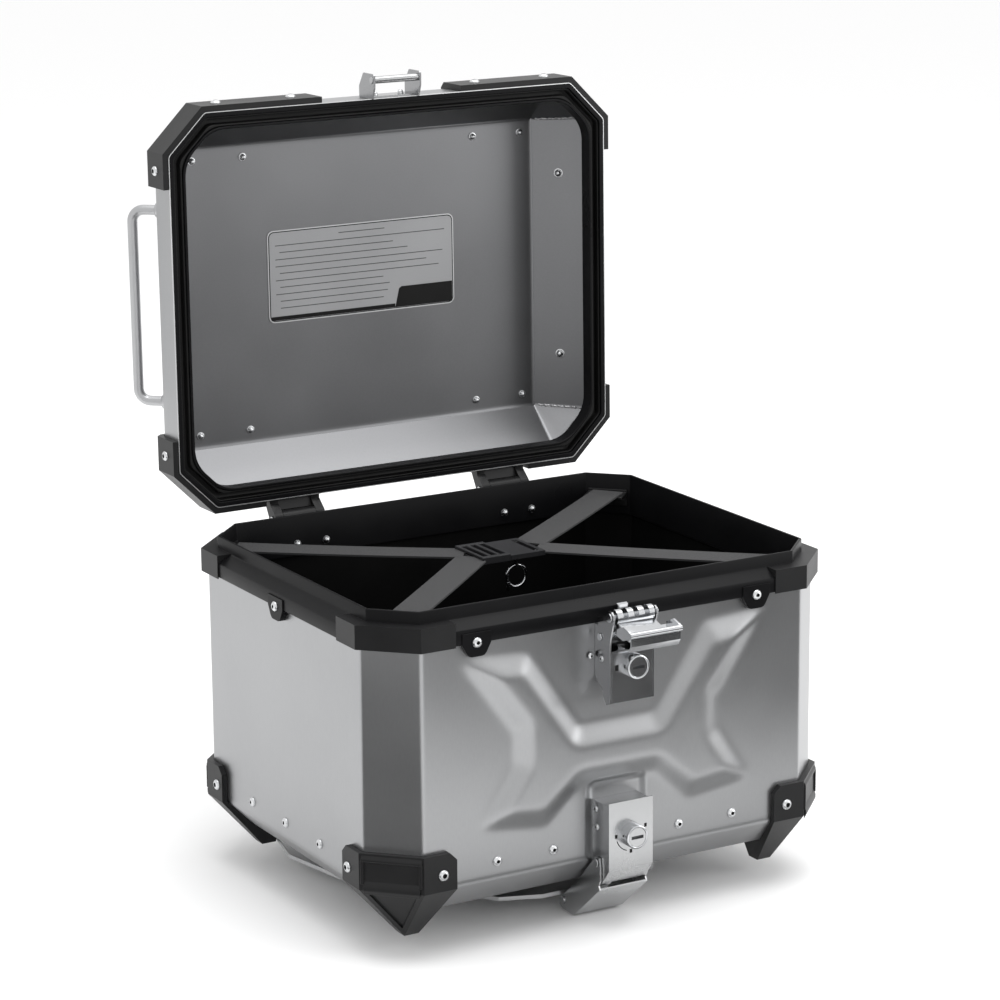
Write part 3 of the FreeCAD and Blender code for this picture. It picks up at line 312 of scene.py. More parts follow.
def plan(hx, hy, c, radius, n=4):
    """Octagon with rounded corners; returns the corner arcs in order."""
    pts = [(-hx + c, -hy), (hx - c, -hy), (hx, -hy + c), (hx, hy - c),
           (hx - c, hy), (-hx + c, hy), (-hx, hy - c), (-hx, -hy + c)]
    arcs = []
    for i in range(8):
        arcs.append(arc_corner(pts[i], pts[i - 1], pts[(i + 1) % 8], radius, n))
    return arcs


def ring_of(hx, hy, c, radius, n=4, front=None, other=3):
    """One closed loop of plan points; front lists the x stations of the front wall."""
    c = max(c, 0.02)
    radius = min(radius, 1.6 * c)
    arcs = plan(hx, hy, c, radius, n)
    loop = []
    for i in range(8):
        loop += arcs[i]
        a = arcs[i][-1]
        b = arcs[(i + 1) % 8][0]
        if i == 0 and front is not None:
            loop += [Vector((a.x + (b.x - a.x) * f, a.y)) for f in front]
        else:
            loop += [a.lerp(b, k / (other + 1)) for k in range(1, other + 1)]
    return loop


def skin(rows, closed_rows=False):
    """Quads over rows of closed loops of 3-D points."""
    bm = bmesh.new()
    grid = [[bm.verts.new(p) for p in row] for row in rows]
    n = len(rows[0])
    count = len(rows) if closed_rows else len(rows) - 1
    for r in range(count):
        a, b = grid[r], grid[(r + 1) % len(rows)]
        for i in range(n):
            j = (i + 1) % n
            bm.faces.new([a[i], a[j], b[j], b[i]])
    bmesh.ops.remove_doubles(bm, verts=bm.verts, dist=0.004)
    return bm


def octa_sweep(profile, radius=5.0, n=5, inner=None):
    """Closed profile of (out, z) swept round the whole rim; its inner side can turn on a larger radius."""
    rows = []
    for out, z in profile:
        r = max(radius + out * 0.4, 0.6)
        if inner is not None:
            r = radius + (inner - radius) * max(0.0, min(1.0, (-11.0 - out) / 2.5))
        loop = ring_of(HX + out, HY + out, CORNER + DIAG * out, r, n, other=1)
        rows.append([(p.x, p.y, z) for p in loop])
    return skin(rows, closed_rows=True)


def circle(bm, centre, u, v, radius, n):
    """n vertices round centre in the plane of u and v."""
    steps = [2 * math.pi * i / n for i in range(n)]
    return [bm.verts.new(centre + (u * math.cos(a) + v * math.sin(a)) * radius) for a in steps]


def loft(bm, rows):
    """Quads between successive closed rows of vertices."""
    for a, b in zip(rows, rows[1:]):
        for k in range(len(a)):
            j = (k + 1) % len(a)
            bm.faces.new([a[k], a[j], b[j], b[k]])


def lathe(profile, p, axis, n=24):
    """(r, h) profile turned about axis through p."""
    a = Vector(axis).normalized()
    u = a.orthogonal().normalized()
    v = a.cross(u)
    bm = bmesh.new()
    rows = []
    for r, h in profile:
        if r < 1e-6:
            rows.append([bm.verts.new(Vector(p) + a * h)])
        else:
            rows.append(circle(bm, Vector(p) + a * h, u, v, r, n))
    for r0, r1 in zip(rows, rows[1:]):
        for i in range(n):
            j = (i + 1) % n
            if len(r0) == 1:
                bm.faces.new([r0[0], r1[i], r1[j]])
            elif len(r1) == 1:
                bm.faces.new([r0[i], r0[j], r1[0]])
            else:
                bm.faces.new([r0[i], r0[j], r1[j], r1[i]])
    return bm


def merge(target, other, index=None):
    """Adds one bmesh to another, with its faces on material index."""
    me = bpy.data.meshes.new("tmp")
    other.to_mesh(me)
    before = len(target.faces)
    target.from_mesh(me)
    target.faces.ensure_lookup_table()
    if index is not None:
        for f in target.faces[before:]:
            f.material_index = index
    bpy.data.meshes.remove(me)
    other.free()
    return target


def tube(points, radius, n=20):
    """Round closed tube along a polyline with a steady frame."""
    pts = [Vector(p) for p in points]
    bm = bmesh.new()
    rows = []
    up = (pts[1] - pts[0]).orthogonal().normalized()
    for i, p in enumerate(pts):
        d = (pts[min(i + 1, len(pts) - 1)] - pts[max(i - 1, 0)]).normalized()
        up = (up - d * up.dot(d)).normalized()
        side = d.cross(up)
        rows.append(circle(bm, p, up, side, radius, n))
    loft(bm, rows)
    bm.faces.new(rows[0])
    bm.faces.new(rows[-1])
    return bm


def block(x0, x1, y0, y1, z0, z1):
    bm = bmesh.new()
    bmesh.ops.create_cube(bm, size=1.0)
    bm.transform(Matrix.Translation(((x0 + x1) / 2, (y0 + y1) / 2, (z0 + z1) / 2))
                 @ Matrix.Diagonal((x1 - x0, y1 - y0, z1 - z0, 1)))
    return bm


def closed_cap(bm, z):
    """Closes the open loop at height z."""
    edge = [e for e in bm.edges if e.is_boundary and all(abs(v.co.z - z) < 0.01 for v in e.verts)]
    bmesh.ops.contextual_create(bm, geom=edge)
    return bm


def extruded(points, direction):
    """Polygon of 3-D points pulled along direction."""
    bm = bmesh.new()
    f = bm.faces.new([bm.verts.new(p) for p in points])
    r = bmesh.ops.extrude_face_region(bm, geom=[f])
    far = [g for g in r["geom"] if isinstance(g, bmesh.types.BMVert)]
    bmesh.ops.translate(bm, vec=Vector(direction), verts=far)
    return bm


# ------------------------------------------------------------------ box with the pressed X
X_OUTLINE = [(-139, 235), (-79, 231), (-34, 166), (34, 166), (79, 231), (139, 235), (92, 172),
             (92, 146), (124, 98), (64, 91), (32, 119), (-32, 119), (-64, 91), (-124, 98),
             (-92, 146), (-92, 172)]
X_RAISE = 5.4
X_SLOPE = 14.5


def height_field():
    """Smooth relief of the X on a 1 mm grid: distance inside the outline, capped and blurred."""
    xs = np.arange(-160, 161)
    zs = np.arange(70, 256)
    gx, gz = np.meshgrid(xs, zs, indexing="ij")
    best = np.full(gx.shape, 1e9)
    inside = np.zeros(gx.shape, bool)
    n = len(X_OUTLINE)
    for i in range(n):
        ax, az = X_OUTLINE[i]
        bx, bz = X_OUTLINE[(i + 1) % n]
        dx, dz = bx - ax, bz - az
        t = np.clip(((gx - ax) * dx + (gz - az) * dz) / (dx * dx + dz * dz), 0, 1)
        best = np.minimum(best, np.hypot(gx - ax - t * dx, gz - az - t * dz))
        cross = (az > gz) != (bz > gz)
        with np.errstate(divide="ignore", invalid="ignore"):
            xi = ax + (gz - az) * dx / (dz if dz else 1e-9)
        inside ^= cross & (gx < xi)
    d = np.where(inside, best, -best)
    h = np.clip(d / X_SLOPE, 0, 1) * X_RAISE
    k = np.exp(-0.5 * (np.arange(-10, 11) / 3.3) ** 2)
    k /= k.sum()
    h = np.apply_along_axis(lambda r: np.convolve(r, k, "same"), 0, h)
    h = np.apply_along_axis(lambda r: np.convolve(r, k, "same"), 1, h)
    return h


FIELD = height_field()


def relief(x, z):
    u = x + 160
    v = z - 70
    if not (0 <= u < 319 and 0 <= v < 184):
        return 0.0
    i, j = int(u), int(v)
    fu, fv = u - i, v - j
    return float((FIELD[i, j] * (1 - fu) + FIELD[i + 1, j] * fu) * (1 - fv)
                 + (FIELD[i, j + 1] * (1 - fu) + FIELD[i + 1, j + 1] * fu) * fv)


def step(edge0, edge1, value):
    t = max(0.0, min(1.0, (value - edge0) / (edge1 - edge0)))
    return t * t * (3 - 2 * t)


POCKET_X, POCKET_Z, POCKET_Y = 28.0, 121.0, -160.0


def pocket(x, z):
    """1 inside the pocket behind the lower latch, 0 outside, with rounded upper corners."""
    r = 9.0
    qx = abs(x) - (POCKET_X - r)
    qz = z - (POCKET_Z - r)
    d = math.hypot(max(qx, 0), max(qz, 0)) + min(max(qx, qz), 0) - r
    return 1 - step(-7.5, 1.2, d)


WALL_R = 6.0         # upright edges of the box
BEND_R = 9.0         # fold at the foot of the wall
FLOOR_BEND_R = 5.0
FLAT_EDGE = 2.5      # flat strip round a capped panel, which keeps its shading flat


def wall_levels():
    """(inset, z) stations from the top of the wall to the floor, with soft folds."""
    levels = [(0.0, Z_WALL_TOP), (0.0, 250.0)]
    z = 243.0
    while z > 62.5:
        levels.append((0.0, z))
        z -= 2.0 if not 117 < z < 125 else 1.0
    t = BEND_R * math.tan(HALF_RIGHT / 2)
    for i in range(7):
        a = HALF_RIGHT * i / 6
        levels.append((BEND_R * (1 - math.cos(a)), Z_FOLD + t - BEND_R * math.sin(a)))
    levels.append((12.0, 45.0))  # on the bevel, about half way down
    r = FLOOR_BEND_R
    t = r * math.tan(HALF_RIGHT / 2)
    for i in range(5):
        a = HALF_RIGHT * (1 - i / 4)
        levels.append((WALL_BEVEL - t * K + r * (K - math.sin(a)), Z_FLOOR + t * K - r * (math.cos(a) - K)))
    levels.append((levels[-1][0] + FLAT_EDGE, levels[-1][1]))
    return levels


FRONT = 2 * (HX - 38.0)  # straight run of the front wall between its corner bends
pocket_edges = [0.5 + s * v / FRONT for s in (-1, 1) for v in (25.5, 26.3, 27.1, 27.7, 28.3, 29.0)]
stations = sorted(set([i / 170 for i in range(1, 170)] + pocket_edges))
rows = []
for inset, z in wall_levels():
    c = CORNER - (CORNER - PANEL_CUT) * inset / WALL_BEVEL
    loop = ring_of(HX - inset, HY - inset, c, WALL_R, 5, front=stations, other=4)
    row = []
    for p in loop:
        y = p.y
        if p.y < -HY + 26 and abs(p.x) < 165:
            y -= relief(p.x, z)
            y += max(0.0, POCKET_Y - y) * pocket(p.x, z)
        row.append((p.x, y, z))
    rows.append(row)
bm = closed_cap(skin(rows), rows[-1][0][2])
shell = piece("box_sheet", bm, "case", SHEET_OUT, angle=50)
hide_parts("body_shell")

# ------------------------------------------------------------------ rim
rim_profile = [(0.2, 247.0), (2.6, 247.0), (3.5, 247.3), (3.8, 248.2), (3.8, 257.6), (3.5, 258.8),
               (2.6, 259.6), (-6.2, 264.3), (-7.2, 265.2), (-7.5, 266.4), (-7.5, 274.0),
               (-7.8, 274.7), (-8.4, 275.0), (-9.1, 275.0), (-9.7, 274.7), (-10.0, 274.0),
               (-10.0, 240.4), (-9.6, 240.0), (-7.8, 240.0), (-7.6, 240.4), (-7.6, 257.9), (0.2, 257.9)]
bm = octa_sweep(rim_profile, 5.0, 5)
LUGS = [((x, -HY, 0), (0, -1, 0)) for x in (-126, 126)]
LUGS += [((0, HY, 0), (0, 1, 0)), ((-HX, 0, 0), (-1, 0, 0)), ((HX, 0, 0), (1, 0, 0))]


def lug(p, axis):
    """Rounded tongue under the rim band that carries a rivet."""
    a = Vector(axis)
    side = Vector((-a.y, a.x, 0))
    outline = [(-12.5, 247.5), (-8.4, 239.8), (-6.6, 237.8), (-4.5, 237.2), (4.5, 237.2), (6.6, 237.8),
               (8.4, 239.8), (12.5, 247.5), (12.5, 256), (-12.5, 256)]
    base = [Vector(p) + a * 0.15 + side * s + Vector((0, 0, z)) for s, z in outline]
    return extruded(base, a * 4.85)


for p, a in LUGS:
    merge(bm, lug(p, a))
rim = piece("rim_band", bm, "case", BLACK_RIM, bevel=0.6, segments=2, limit=40)
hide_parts("rim_frame")
for n in ("front_left", "front_right", "back_left", "back_right"):
    refine("rim_corner_" + n, BLACK, 1.6, 3, limit=35)

# ------------------------------------------------------------------ lower corner guards
for n in ("front_left", "front_right", "back_left", "back_right"):
    refine("guard_" + n, BLACK, 0.9, 3, limit=22)


GUARD_OUT = 5.0
bm = bmesh.new()
for sx in (-1, 1):
    for sy in (-1, 1):
        out = Vector((sx * K, sy * K, 0))
        side = Vector((-sx * K, sy * K, 0))
        back = GUARD_OUT - (CORNER + DIAG * GUARD_OUT) / 2
        mid = Vector((sx * (HX + back), sy * (HY + back), 0))
        for half, outline in ((22.5, [(-0.3, 53.5), (1.7, 57.2), (1.7, 60.2), (-0.3, 65.2)]),
                              (24.0, [(-0.3, 79.0), (1.3, 80.4), (1.3, 82.2), (-0.6, 86.2)])):
            start = mid - side * half
            merge(bm, extruded([start + out * o + Vector((0, 0, z)) for o, z in outline], side * 2 * half))
        for end in (-1, 1):
            merge(bm, extruded([mid + side * end * u + Vector((0, 0, z)) - out * 0.3 for u, z in
                                ((24.5, 62), (21.6, 62), (21.6, 81), (24.5, 81))], out * 1.7))
piece("guard_ridges", bm, "case", BLACK, bevel=0.7, segments=3, limit=25)


# ------------------------------------------------------------------ fasteners
def dome(p, axis, r, h):
    """Button rivet head with a flat rim, a domed top and a hollow centre whose near-black colour is painted
    shade.
    """
    bm = lathe([(r, 0), (r, h * 0.25), (r * 0.9, h * 0.55), (r * 0.68, h * 0.85), (r * 0.42, h),
                (r * 0.36, h * 0.93)], p, axis, 24)
    merge(bm, lathe([(r * 0.36, h * 0.93), (r * 0.32, h * 0.3), (0, h * 0.25)], p, axis, 24), 1)
    return bm


def socket_screw(p, axis, r, h):
    """Button-head screw with a hexagon socket whose near-black colour is painted shade."""
    bm = lathe([(r, 0), (r, h * 0.2), (r * 0.93, h * 0.5), (r * 0.75, h * 0.82), (r * 0.55, h),
                (r * 0.44, h)], p, axis, 24)
    merge(bm, lathe([(r * 0.44, h), (r * 0.42, h * 0.35), (0, h * 0.3)], p, axis, 6), 1)
    return bm


def acorn(p, axis, r, h):
    """Hexagon nut with a domed end on a washer."""
    bm = lathe([(r * 1.3, 0), (r * 1.3, 0.8), (r * 1.05, 0.9)], p, axis, 24)
    merge(bm, lathe([(r, 0.8), (r, h * 0.5), (r * 0.86, h * 0.56)], p, axis, 6))
    merge(bm, lathe([(r * 0.84, h * 0.54), (r * 0.7, h * 0.8), (r * 0.4, h * 0.96), (0, h)], p, axis, 20))
    return bm


def fasteners(name, items, node_names, body, lid=False, maker=dome, mats=(ZINC, HOLLOW_SHADE_AND_INK)):
    bm = bmesh.new()
    for p, a, r, h in items:
        merge(bm, maker(p, a, r, h))
    obj = piece(name, bm, body, mats, lid=lid)
    if node_names:
        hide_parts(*node_names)
    return obj


items = []
for p, a in LUGS:
    q = Vector(p) + Vector(a) * 5.0
    items.append(((q.x, q.y, 248.3), a, 4.1, 2.2))
for s in (-1, 1):
    items += [((x, s * HY, WALL_RIVET_Z), (0, s, 0), 4.0, 2.2) for x in (-107.3, -57.4, 57.4, 107.3)]
    items += [((s * HX, y, WALL_RIVET_Z), (s, 0, 0), 4.0, 2.2) for y in (-58.5, 0.0, 58.5)]
fasteners("wall_rivet_heads", items, ["wall_rivets"], "case")
items = []
for sx in (-1, 1):
    for sy in (-1, 1):
        items.append(((sx * 157, sy * (HY + GUARD_OUT), 70), (0, sy, 0), 4.4, 2.2))
        items.append(((sx * (HX + GUARD_OUT), sy * 114, 70), (sx, 0, 0), 4.4, 2.2))
fasteners("guard_screw_heads", items, ["guard_screws"], "case", maker=socket_screw)
items = []
nuts = []
for s in (-1, 1):
    for d in (-HINGE_BOLT_DX, HINGE_BOLT_DX):
        items.append(((s * HINGE_X + d, HY + 8.05, 250.5), (0, 1, 0), 4.1, 2.2))
        nuts.append(((s * HINGE_X + d, HY - 10.05, 250.5), (0, -1, 0), 2.6, 3.4))
fasteners("hinge_bolt_heads", items, ["hinge_body_bolts"], "case", maker=socket_screw)
fasteners("hinge_nuts", nuts, [], "case", maker=acorn)
items = []
for s in (-1, 1):
    items += [((s * HINGE_X + d, HY + 3.25, 286.0), (0, 1, 0), 4.1, 2.1)
              for d in (-HINGE_BOLT_DX, HINGE_BOLT_DX)]
    items += [((s * x, -HY - 4.2, 283.5), (0, -1, 0), 4.1, 2.2) for x in (86.5, 154.0)]
    items.append(((s * 148, HY + 4.2, 283.5), (0, 1, 0), 4.1, 2.2))
    items += [((s * (HX + 4.2), y, 283.5), (s, 0, 0), 4.1, 2.2) for y in (-117, 117)]
    items.append(((s * 12, -HY - 0.85, 277), (0, -1, 0), 2.6, 2.9))
fasteners("lid_screw_heads", items, ["lid_screws"], "lid", lid=True, maker=socket_screw)
items = []
z_in = Z_LID_TOP - LID_SKIN
for sx in (-1, 1):
    for sy in (-1, 1):
        for x in (109.5, 156.0):
            items.append(((sx * x, sy * LASH_Y, z_in), (0, 0, -1), 2.5, 3.6))
        foot = Vector((sx * (LID_HX - LID_BEVEL / 2), sy * HANDLE_Y, Z_LID_BAND + LID_BEVEL / 2))
        foot -= Vector((sx * K, 0, K)) * LID_SKIN
        items.append((tuple(foot), (-sx * K, 0, -K), 3.0, 4.6))
fasteners("lid_nuts", items, ["lid_bolts"], "lid", lid=True, maker=acorn)
items = []
for s in (-1, 1):
    items.append(((s * 24.2, -HY - 1.6, 221), (0, -1, 0), 2.7, 1.6))
    items.append(((s * 20, -174, 220.4), (s, 0, 0), 2.5, 1.3))
    items += [((s * 20, y, z), (s, 0, 0), 2.5, 1.3) for y, z in ((-165.5, 97.5), (-167.0, 83.0))]
fasteners("latch_rivet_heads", items, ["latch_rivets"], "case")

# ------------------------------------------------------------------ lid
FOLD_R = 6.0
levels = [(0.0, Z_LID), (0.0, 275.0), (0.0, 285.0)]
t = FOLD_R * math.tan(HALF_RIGHT / 2)
for i in range(6):
    a = HALF_RIGHT * i / 5
    levels.append((FOLD_R * (1 - math.cos(a)), Z_LID_BAND - t + FOLD_R * math.sin(a)))
levels += [(10.0, 306.2), (20.0, 316.2)]
for i in range(6):
    a = HALF_RIGHT * (1 - i / 5)
    levels.append((LID_BEVEL - t * K + FOLD_R * (K - math.sin(a)),
                   Z_LID_TOP - t * K + FOLD_R * (math.cos(a) - K)))
levels.append((levels[-1][0] + FLAT_EDGE, levels[-1][1]))


def lid_lift(inset):
    """How far below the outer face the inner face lies, at a given inset."""
    return LID_SKIN * min(1.0, inset / LID_BEVEL + 0.35)


def lid_row(inset, z, thickness):
    """Loop of the lid's face at one level; thickness 0 is the outer face."""
    c = LID_CORNER * max(0.0, 1 - inset / LID_BEVEL)
    off = thickness if inset < 34 else 0.9
    loop = ring_of(LID_HX - inset - off, LID_HY - inset - off, c, 5.0, 5, other=3)
    return [(p.x, p.y, z) for p in loop]


outer_rows = []
inner_rows = []
for inset, z in levels:
    outer_rows.append(lid_row(inset, z, 0.0))
    inner_rows.append(lid_row(inset, z - (lid_lift(inset) if inset >= 0.01 else 0.0), LID_SKIN))
bm = closed_cap(skin(outer_rows), outer_rows[-1][0][2])
lid = piece("lid_sheet", bm, "lid", SHEET_OUT, lid=True, angle=50)
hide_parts("lid_shell")
bm = closed_cap(skin(inner_rows), inner_rows[-1][0][2])
bm.faces.ensure_lookup_table()
# Inner face in the darker copy of the lid metal: painted shade.
lid_in = piece("lid_sheet_inside", bm, "lid", LID_IN_PAINTED_SHADE, lid=True, angle=50)


def bead(p, q, r=1.0):
    """Lumpy weld run between two points."""
    p, q = Vector(p), Vector(q)
    count = int((q - p).length / 0.9)
    bm = bmesh.new()
    rows = []
    d = (q - p).normalized()
    u = d.orthogonal().normalized()
    v = d.cross(u)
    for i in range(count + 1):
        w = r * (1 + 0.28 * math.sin(i * 1.9) + 0.16 * math.sin(i * 0.7 + 1.3))
        w *= 0.55 if i in (0, count) else 1
        c = p.lerp(q, i / count) + u * 0.3 * math.sin(i * 0.9) + v * 0.25 * math.sin(i * 1.3 + 2)
        rows.append(circle(bm, c, u, v, w, 10))
    loft(bm, rows)
    bm.faces.new(rows[0])
    bm.faces.new(rows[-1])
    return bm


def lid_facet(inset, sx, sy, along):
    """Point on the edge of an inner corner facet of the lid; along 0 is beside the end wall."""
    c = LID_CORNER * max(0.0, 1 - inset / LID_BEVEL)
    x = LID_HX - inset - LID_SKIN - c * along
    y = LID_HY - inset - LID_SKIN - c * (1 - along)
    return (sx * x, sy * y, Z_LID_BAND + inset - lid_lift(inset) - 0.4)


# Thin ring just outside the lid wall at its lower edge, in the lighter aluminium: a painted highlight line.
bright = [(-1.35, 268.7), (-0.72, 268.7), (-0.72, 268.05), (-1.35, 268.05)]
piece("lid_edge_painted_highlight", octa_sweep(bright, 6.0, 8), "lid", EDGE, lid=True)
bm = bmesh.new()
for sx in (-1, 1):
    for sy in (-1, 1):
        merge(bm, bead(lid_facet(3, sx, sy, 0), lid_facet(32, sx, sy, 0), 0.85))
        merge(bm, bead(lid_facet(2, sx, sy, 0), lid_facet(2, sx, sy, 1), 0.8))
piece("lid_weld_beads", bm, "lid", WELD, lid=True, angle=60)

channel = [(-2.75, 268.66), (-0.85, 268.66), (-0.85, 268.3), (-1.15, 268.1), (-4.7, 268.1),
           (-5.05, 268.4), (-5.05, 279.0), (-13.4, 279.0),
           (-13.4, 268.6), (-13.8, 268.1), (-15.1, 268.1), (-15.5, 268.6), (-15.5, 280.5), (-15.0, 281.0),
           (-3.2, 281.0), (-2.75, 280.6)]
bm = octa_sweep(channel, 6.0, 8, 30.0)
frame_obj = piece("lid_channel", bm, "lid", BLACK_RIM, lid=True, bevel=0.3, segments=2)
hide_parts("lid_frame")
seal = [(-5.2, 270.4), (-5.5, 269.9), (-6.2, 269.8), (-6.6, 270.2), (-6.7, 275.4), (-7.2, 276.2),
        (-8.2, 276.5),
        (-10.0, 276.5), (-11.0, 276.2), (-11.4, 275.4), (-11.5, 270.3), (-11.9, 269.8), (-12.8, 269.8),
        (-13.3, 270.4), (-13.3, 278.9), (-5.2, 278.9)]
bm = octa_sweep(seal, 6.0, 8, 30.0)
seal_obj = piece("lid_seal_soft", bm, "lid", RUBBER, lid=True, bevel=0.3, segments=2)
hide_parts("lid_seal")
for n in ("front_left", "front_right", "back_left", "back_right"):
    refine("lid_corner_" + n, BLACK, 1.2, 3, limit=30)

# handles
def handle_foot(s, sy):
    """Where a handle leg meets the end bevel of the lid."""
    return Vector((s * (LID_HX - LID_BEVEL / 2), sy * HANDLE_Y, Z_LID_BAND + LID_BEVEL / 2))


TUBE_R, TUBE_BEND, TUBE_REACH = 4.2, 10.0, 20.0
for s, side in ((-1, "left"), (1, "right")):
    out = Vector((s * K, 0, K))
    path = []
    for sy in (-1, 1):
        foot = handle_foot(s, sy)
        leg = [foot + out * 0.1, foot + out * 8]
        for i in range(9):
            a = math.radians(90) * i / 8
            inward = Vector((0, -sy * TUBE_BEND * (1 - math.cos(a)), 0))
            leg.append(foot + inward + out * (TUBE_REACH + TUBE_BEND * math.sin(a)))
        path += leg if sy < 0 else leg[::-1]
    obj = piece("handle_bar_" + side, tube(path, TUBE_R, 24), "lid", TUBE, lid=True, angle=40)
    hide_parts("handle_" + side)
ferrule = [(4.25, 0.2), (7.4, 0.2), (7.4, 1.2), (7.0, 1.8), (6.6, 7.4), (6.0, 8.6), (5.2, 9.1), (4.25, 9.1)]
bm = bmesh.new()
for s in (-1, 1):
    for sy in (-1, 1):
        merge(bm, lathe(ferrule, handle_foot(s, sy), (s * K, 0, K), 28))
obj = piece("handle_ferrules", bm, "lid", TUBE, lid=True)
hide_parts("handle_collars")

# striker
# The bracket takes the darker chrome copy: painted dark reflection.
refine("striker_bracket", CHROME_PAINTED_DARK, 0.5)
refine("striker_bar", STEEL, 0.4)
refine("lash_eyes", BLACK, 0.8)

# information plate: border, outline, plain panel, blank bands and faint ruled lines


def slab(outline, z0, z1):
    return extruded([(x, y, z0) for x, y in outline], (0, 0, z1 - z0))


bm = slab(rounded(-89, 89, -51, 27, 5.5), 328.75, 329.3)
merge(bm, slab(rounded(-88.1, 88.1, -50.1, 26.1, 4.9), 328.68, 329.0), 1)
merge(bm, slab(rounded(-87.3, 87.3, -49.3, 25.3, 4.3), 328.62, 329.0), 2)
merge(bm, slab([(31, 25.1), (87, 25.1), (87, 7.5), (37.5, 7.5), (35, 9)], 328.56, 329.0), 1)
merge(bm, slab([(-87, 25.1), (31, 25.1), (31, 21.8), (-87, 21.8)], 328.56, 329.0), 1)
for i, (x0, x1) in enumerate(((-22, 22), (-82, 80), (-78, 30), (-82, 44), (-82, 78), (-78, 62), (-82, 74),
                              (-78, 20), (-82, 26), (-78, 24), (-78, 20))):
    y = -44.5 + 5.9 * i
    merge(bm, slab([(x0, y), (x1, y), (x1, y + 0.7), (x0, y + 0.7)], 328.56, 329.0), 3)
obj = piece("label_film", bm, "lid", (LABEL_EDGE, LABEL_INK, LABEL, LABEL_LINE), lid=True, angle=30)
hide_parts("label_plate")

# ------------------------------------------------------------------ hinges
for n in ("hinge_body_left", "hinge_body_right", "hinge_lid_left", "hinge_lid_right"):
    refine(n, BLACK, 0.9, 3)
refine("hinge_pins", STEEL, 0.4)
y_leaf = HY - 0.65
cover = [(y_leaf + 0.2, 280.3), (y_leaf + 0.2, 274.2)]
for i in range(11):
    a = math.radians(150 - 12 * i)
    cover.append((HINGE_Y + 7.2 * math.cos(a), HINGE_Z + 7.2 * math.sin(a)))
cover += [(HINGE_Y + 5.9, 271.6), (y_leaf + 4.2, 280.3)]
bm = bmesh.new()
for s in (-1, 1):
    merge(bm, extruded([(s * HINGE_X - 15.4, y, z) for y, z in cover], (30.8, 0, 0)))
    merge(bm, block(s * HINGE_X - 28.5, s * HINGE_X + 28.5, y_leaf + 0.2, y_leaf + 2.6, 277.5, 293))
piece("hinge_covers", bm, "lid", BLACK, lid=True, bevel=0.8, segments=3)

# ------------------------------------------------------------------ latches
for n in ("latch_lever", "latch_claw", "latch_pins"):
    refine(n, CHROME, 0.5, 3)
# Housing and lock plug take the darker chrome copy: painted dark reflection.
refine("latch_housing", CHROME_PAINTED_DARK, 0.6, 3)
refine("latch_lock_plug", CHROME_PAINTED_DARK, 0.35, 3)
for n in ("base_latch_housing", "base_claw", "base_claw_pin", "base_latch_pin"):
    refine(n, STEEL, 0.9, 4)
refine("base_lock_plug", STEEL, 0.35, 3)


for n, y, z, depth in (("latch_lock_body", LATCH_FACE_Y, LATCH_LOCK_Z, 14.5),
                       ("base_lock_body", BASE_FACE_Y, BASE_LOCK_Z, 15.5)):
    ring = [(7.66, -depth), (9.0, -depth), (9.0, 0.05), (9.5, 0.05), (9.5, 9.2), (9.3, 9.7), (8.8, 10.0),
            (8.1, 10.0), (7.8, 9.8), (7.66, 9.4), (7.66, -depth)]
    obj = piece(n + "_turned", lathe(ring, (0, y, z), (0, -1, 0), 48), "case", CHROME)
    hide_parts(n)


def front_slab(outline, y0, y1):
    return extruded([(x, y0, z) for x, z in outline], (0, y1 - y0, 0))


# Latch face: chrome border, an inner plate in the darker chrome copy (painted dark reflection) and a
# near-black tick mark.
bm = front_slab(rounded(-19.0, 19.0, 189.0, 227.2, 3.0), LATCH_FACE_Y - 0.22, LATCH_FACE_Y + 0.3)
merge(bm, front_slab(rounded(-17.9, 17.9, 190.1, 226.1, 2.4), LATCH_FACE_Y - 0.3, LATCH_FACE_Y + 0.3), 1)
tick = [(-15.4, 212.6), (-12.2, 212.6), (-12.2, 217.4), (-15.4, 217.4)]
merge(bm, front_slab(tick, LATCH_FACE_Y - 0.38, LATCH_FACE_Y + 0.3), 2)
piece("latch_face", bm, "case", (CHROME, CHROME_PAINTED_DARK, HOLLOW_SHADE_AND_INK), angle=30)
bm = bmesh.new()
mark_y = (BASE_FACE_Y - 0.12, BASE_FACE_Y + 0.2)
for x, z in ((-13.4, 79.0), (0.0, 65.2), (13.2, 84.0)):
    tick = [(x - 1.1, z - 1.5), (x + 1.1, z - 1.5), (x + 1.1, z + 1.5), (x - 1.1, z + 1.5)]
    merge(bm, front_slab(tick, *mark_y))
for i in range(7):
    a0, a1 = math.radians(198 + 8 * i), math.radians(206 + 8 * i)
    arc = [(r * math.cos(a), BASE_LOCK_Z + r * math.sin(a)) for r, a in
           ((12.9, a0), (13.6, a0), (13.6, a1), (12.9, a1))]
    merge(bm, front_slab(arc, *mark_y))
piece("base_latch_marks", bm, "case", HOLLOW_SHADE_AND_INK, angle=30)

# ------------------------------------------------------------------ inside
refine("liner", LINER, 1.5, 3)
refine("strap_anchors", BLACK, 0.5)
refine("strap_ladder", GLOSS, 0.6)
refine("strap_tongue", GLOSS, 0.6)
refine("snap_ring", CHROME, 0.2)
refine("base_stiffener", STEEL, 0.2)

# ------------------------------------------------------------------ underneath
refine("rack_plate", PLATE, 0.6)
refine("rack_spacers", BLACK, 0.6)
refine("plate_pads", RUBBER, 0.8)
refine("rear_catches", STEEL, 0.5)


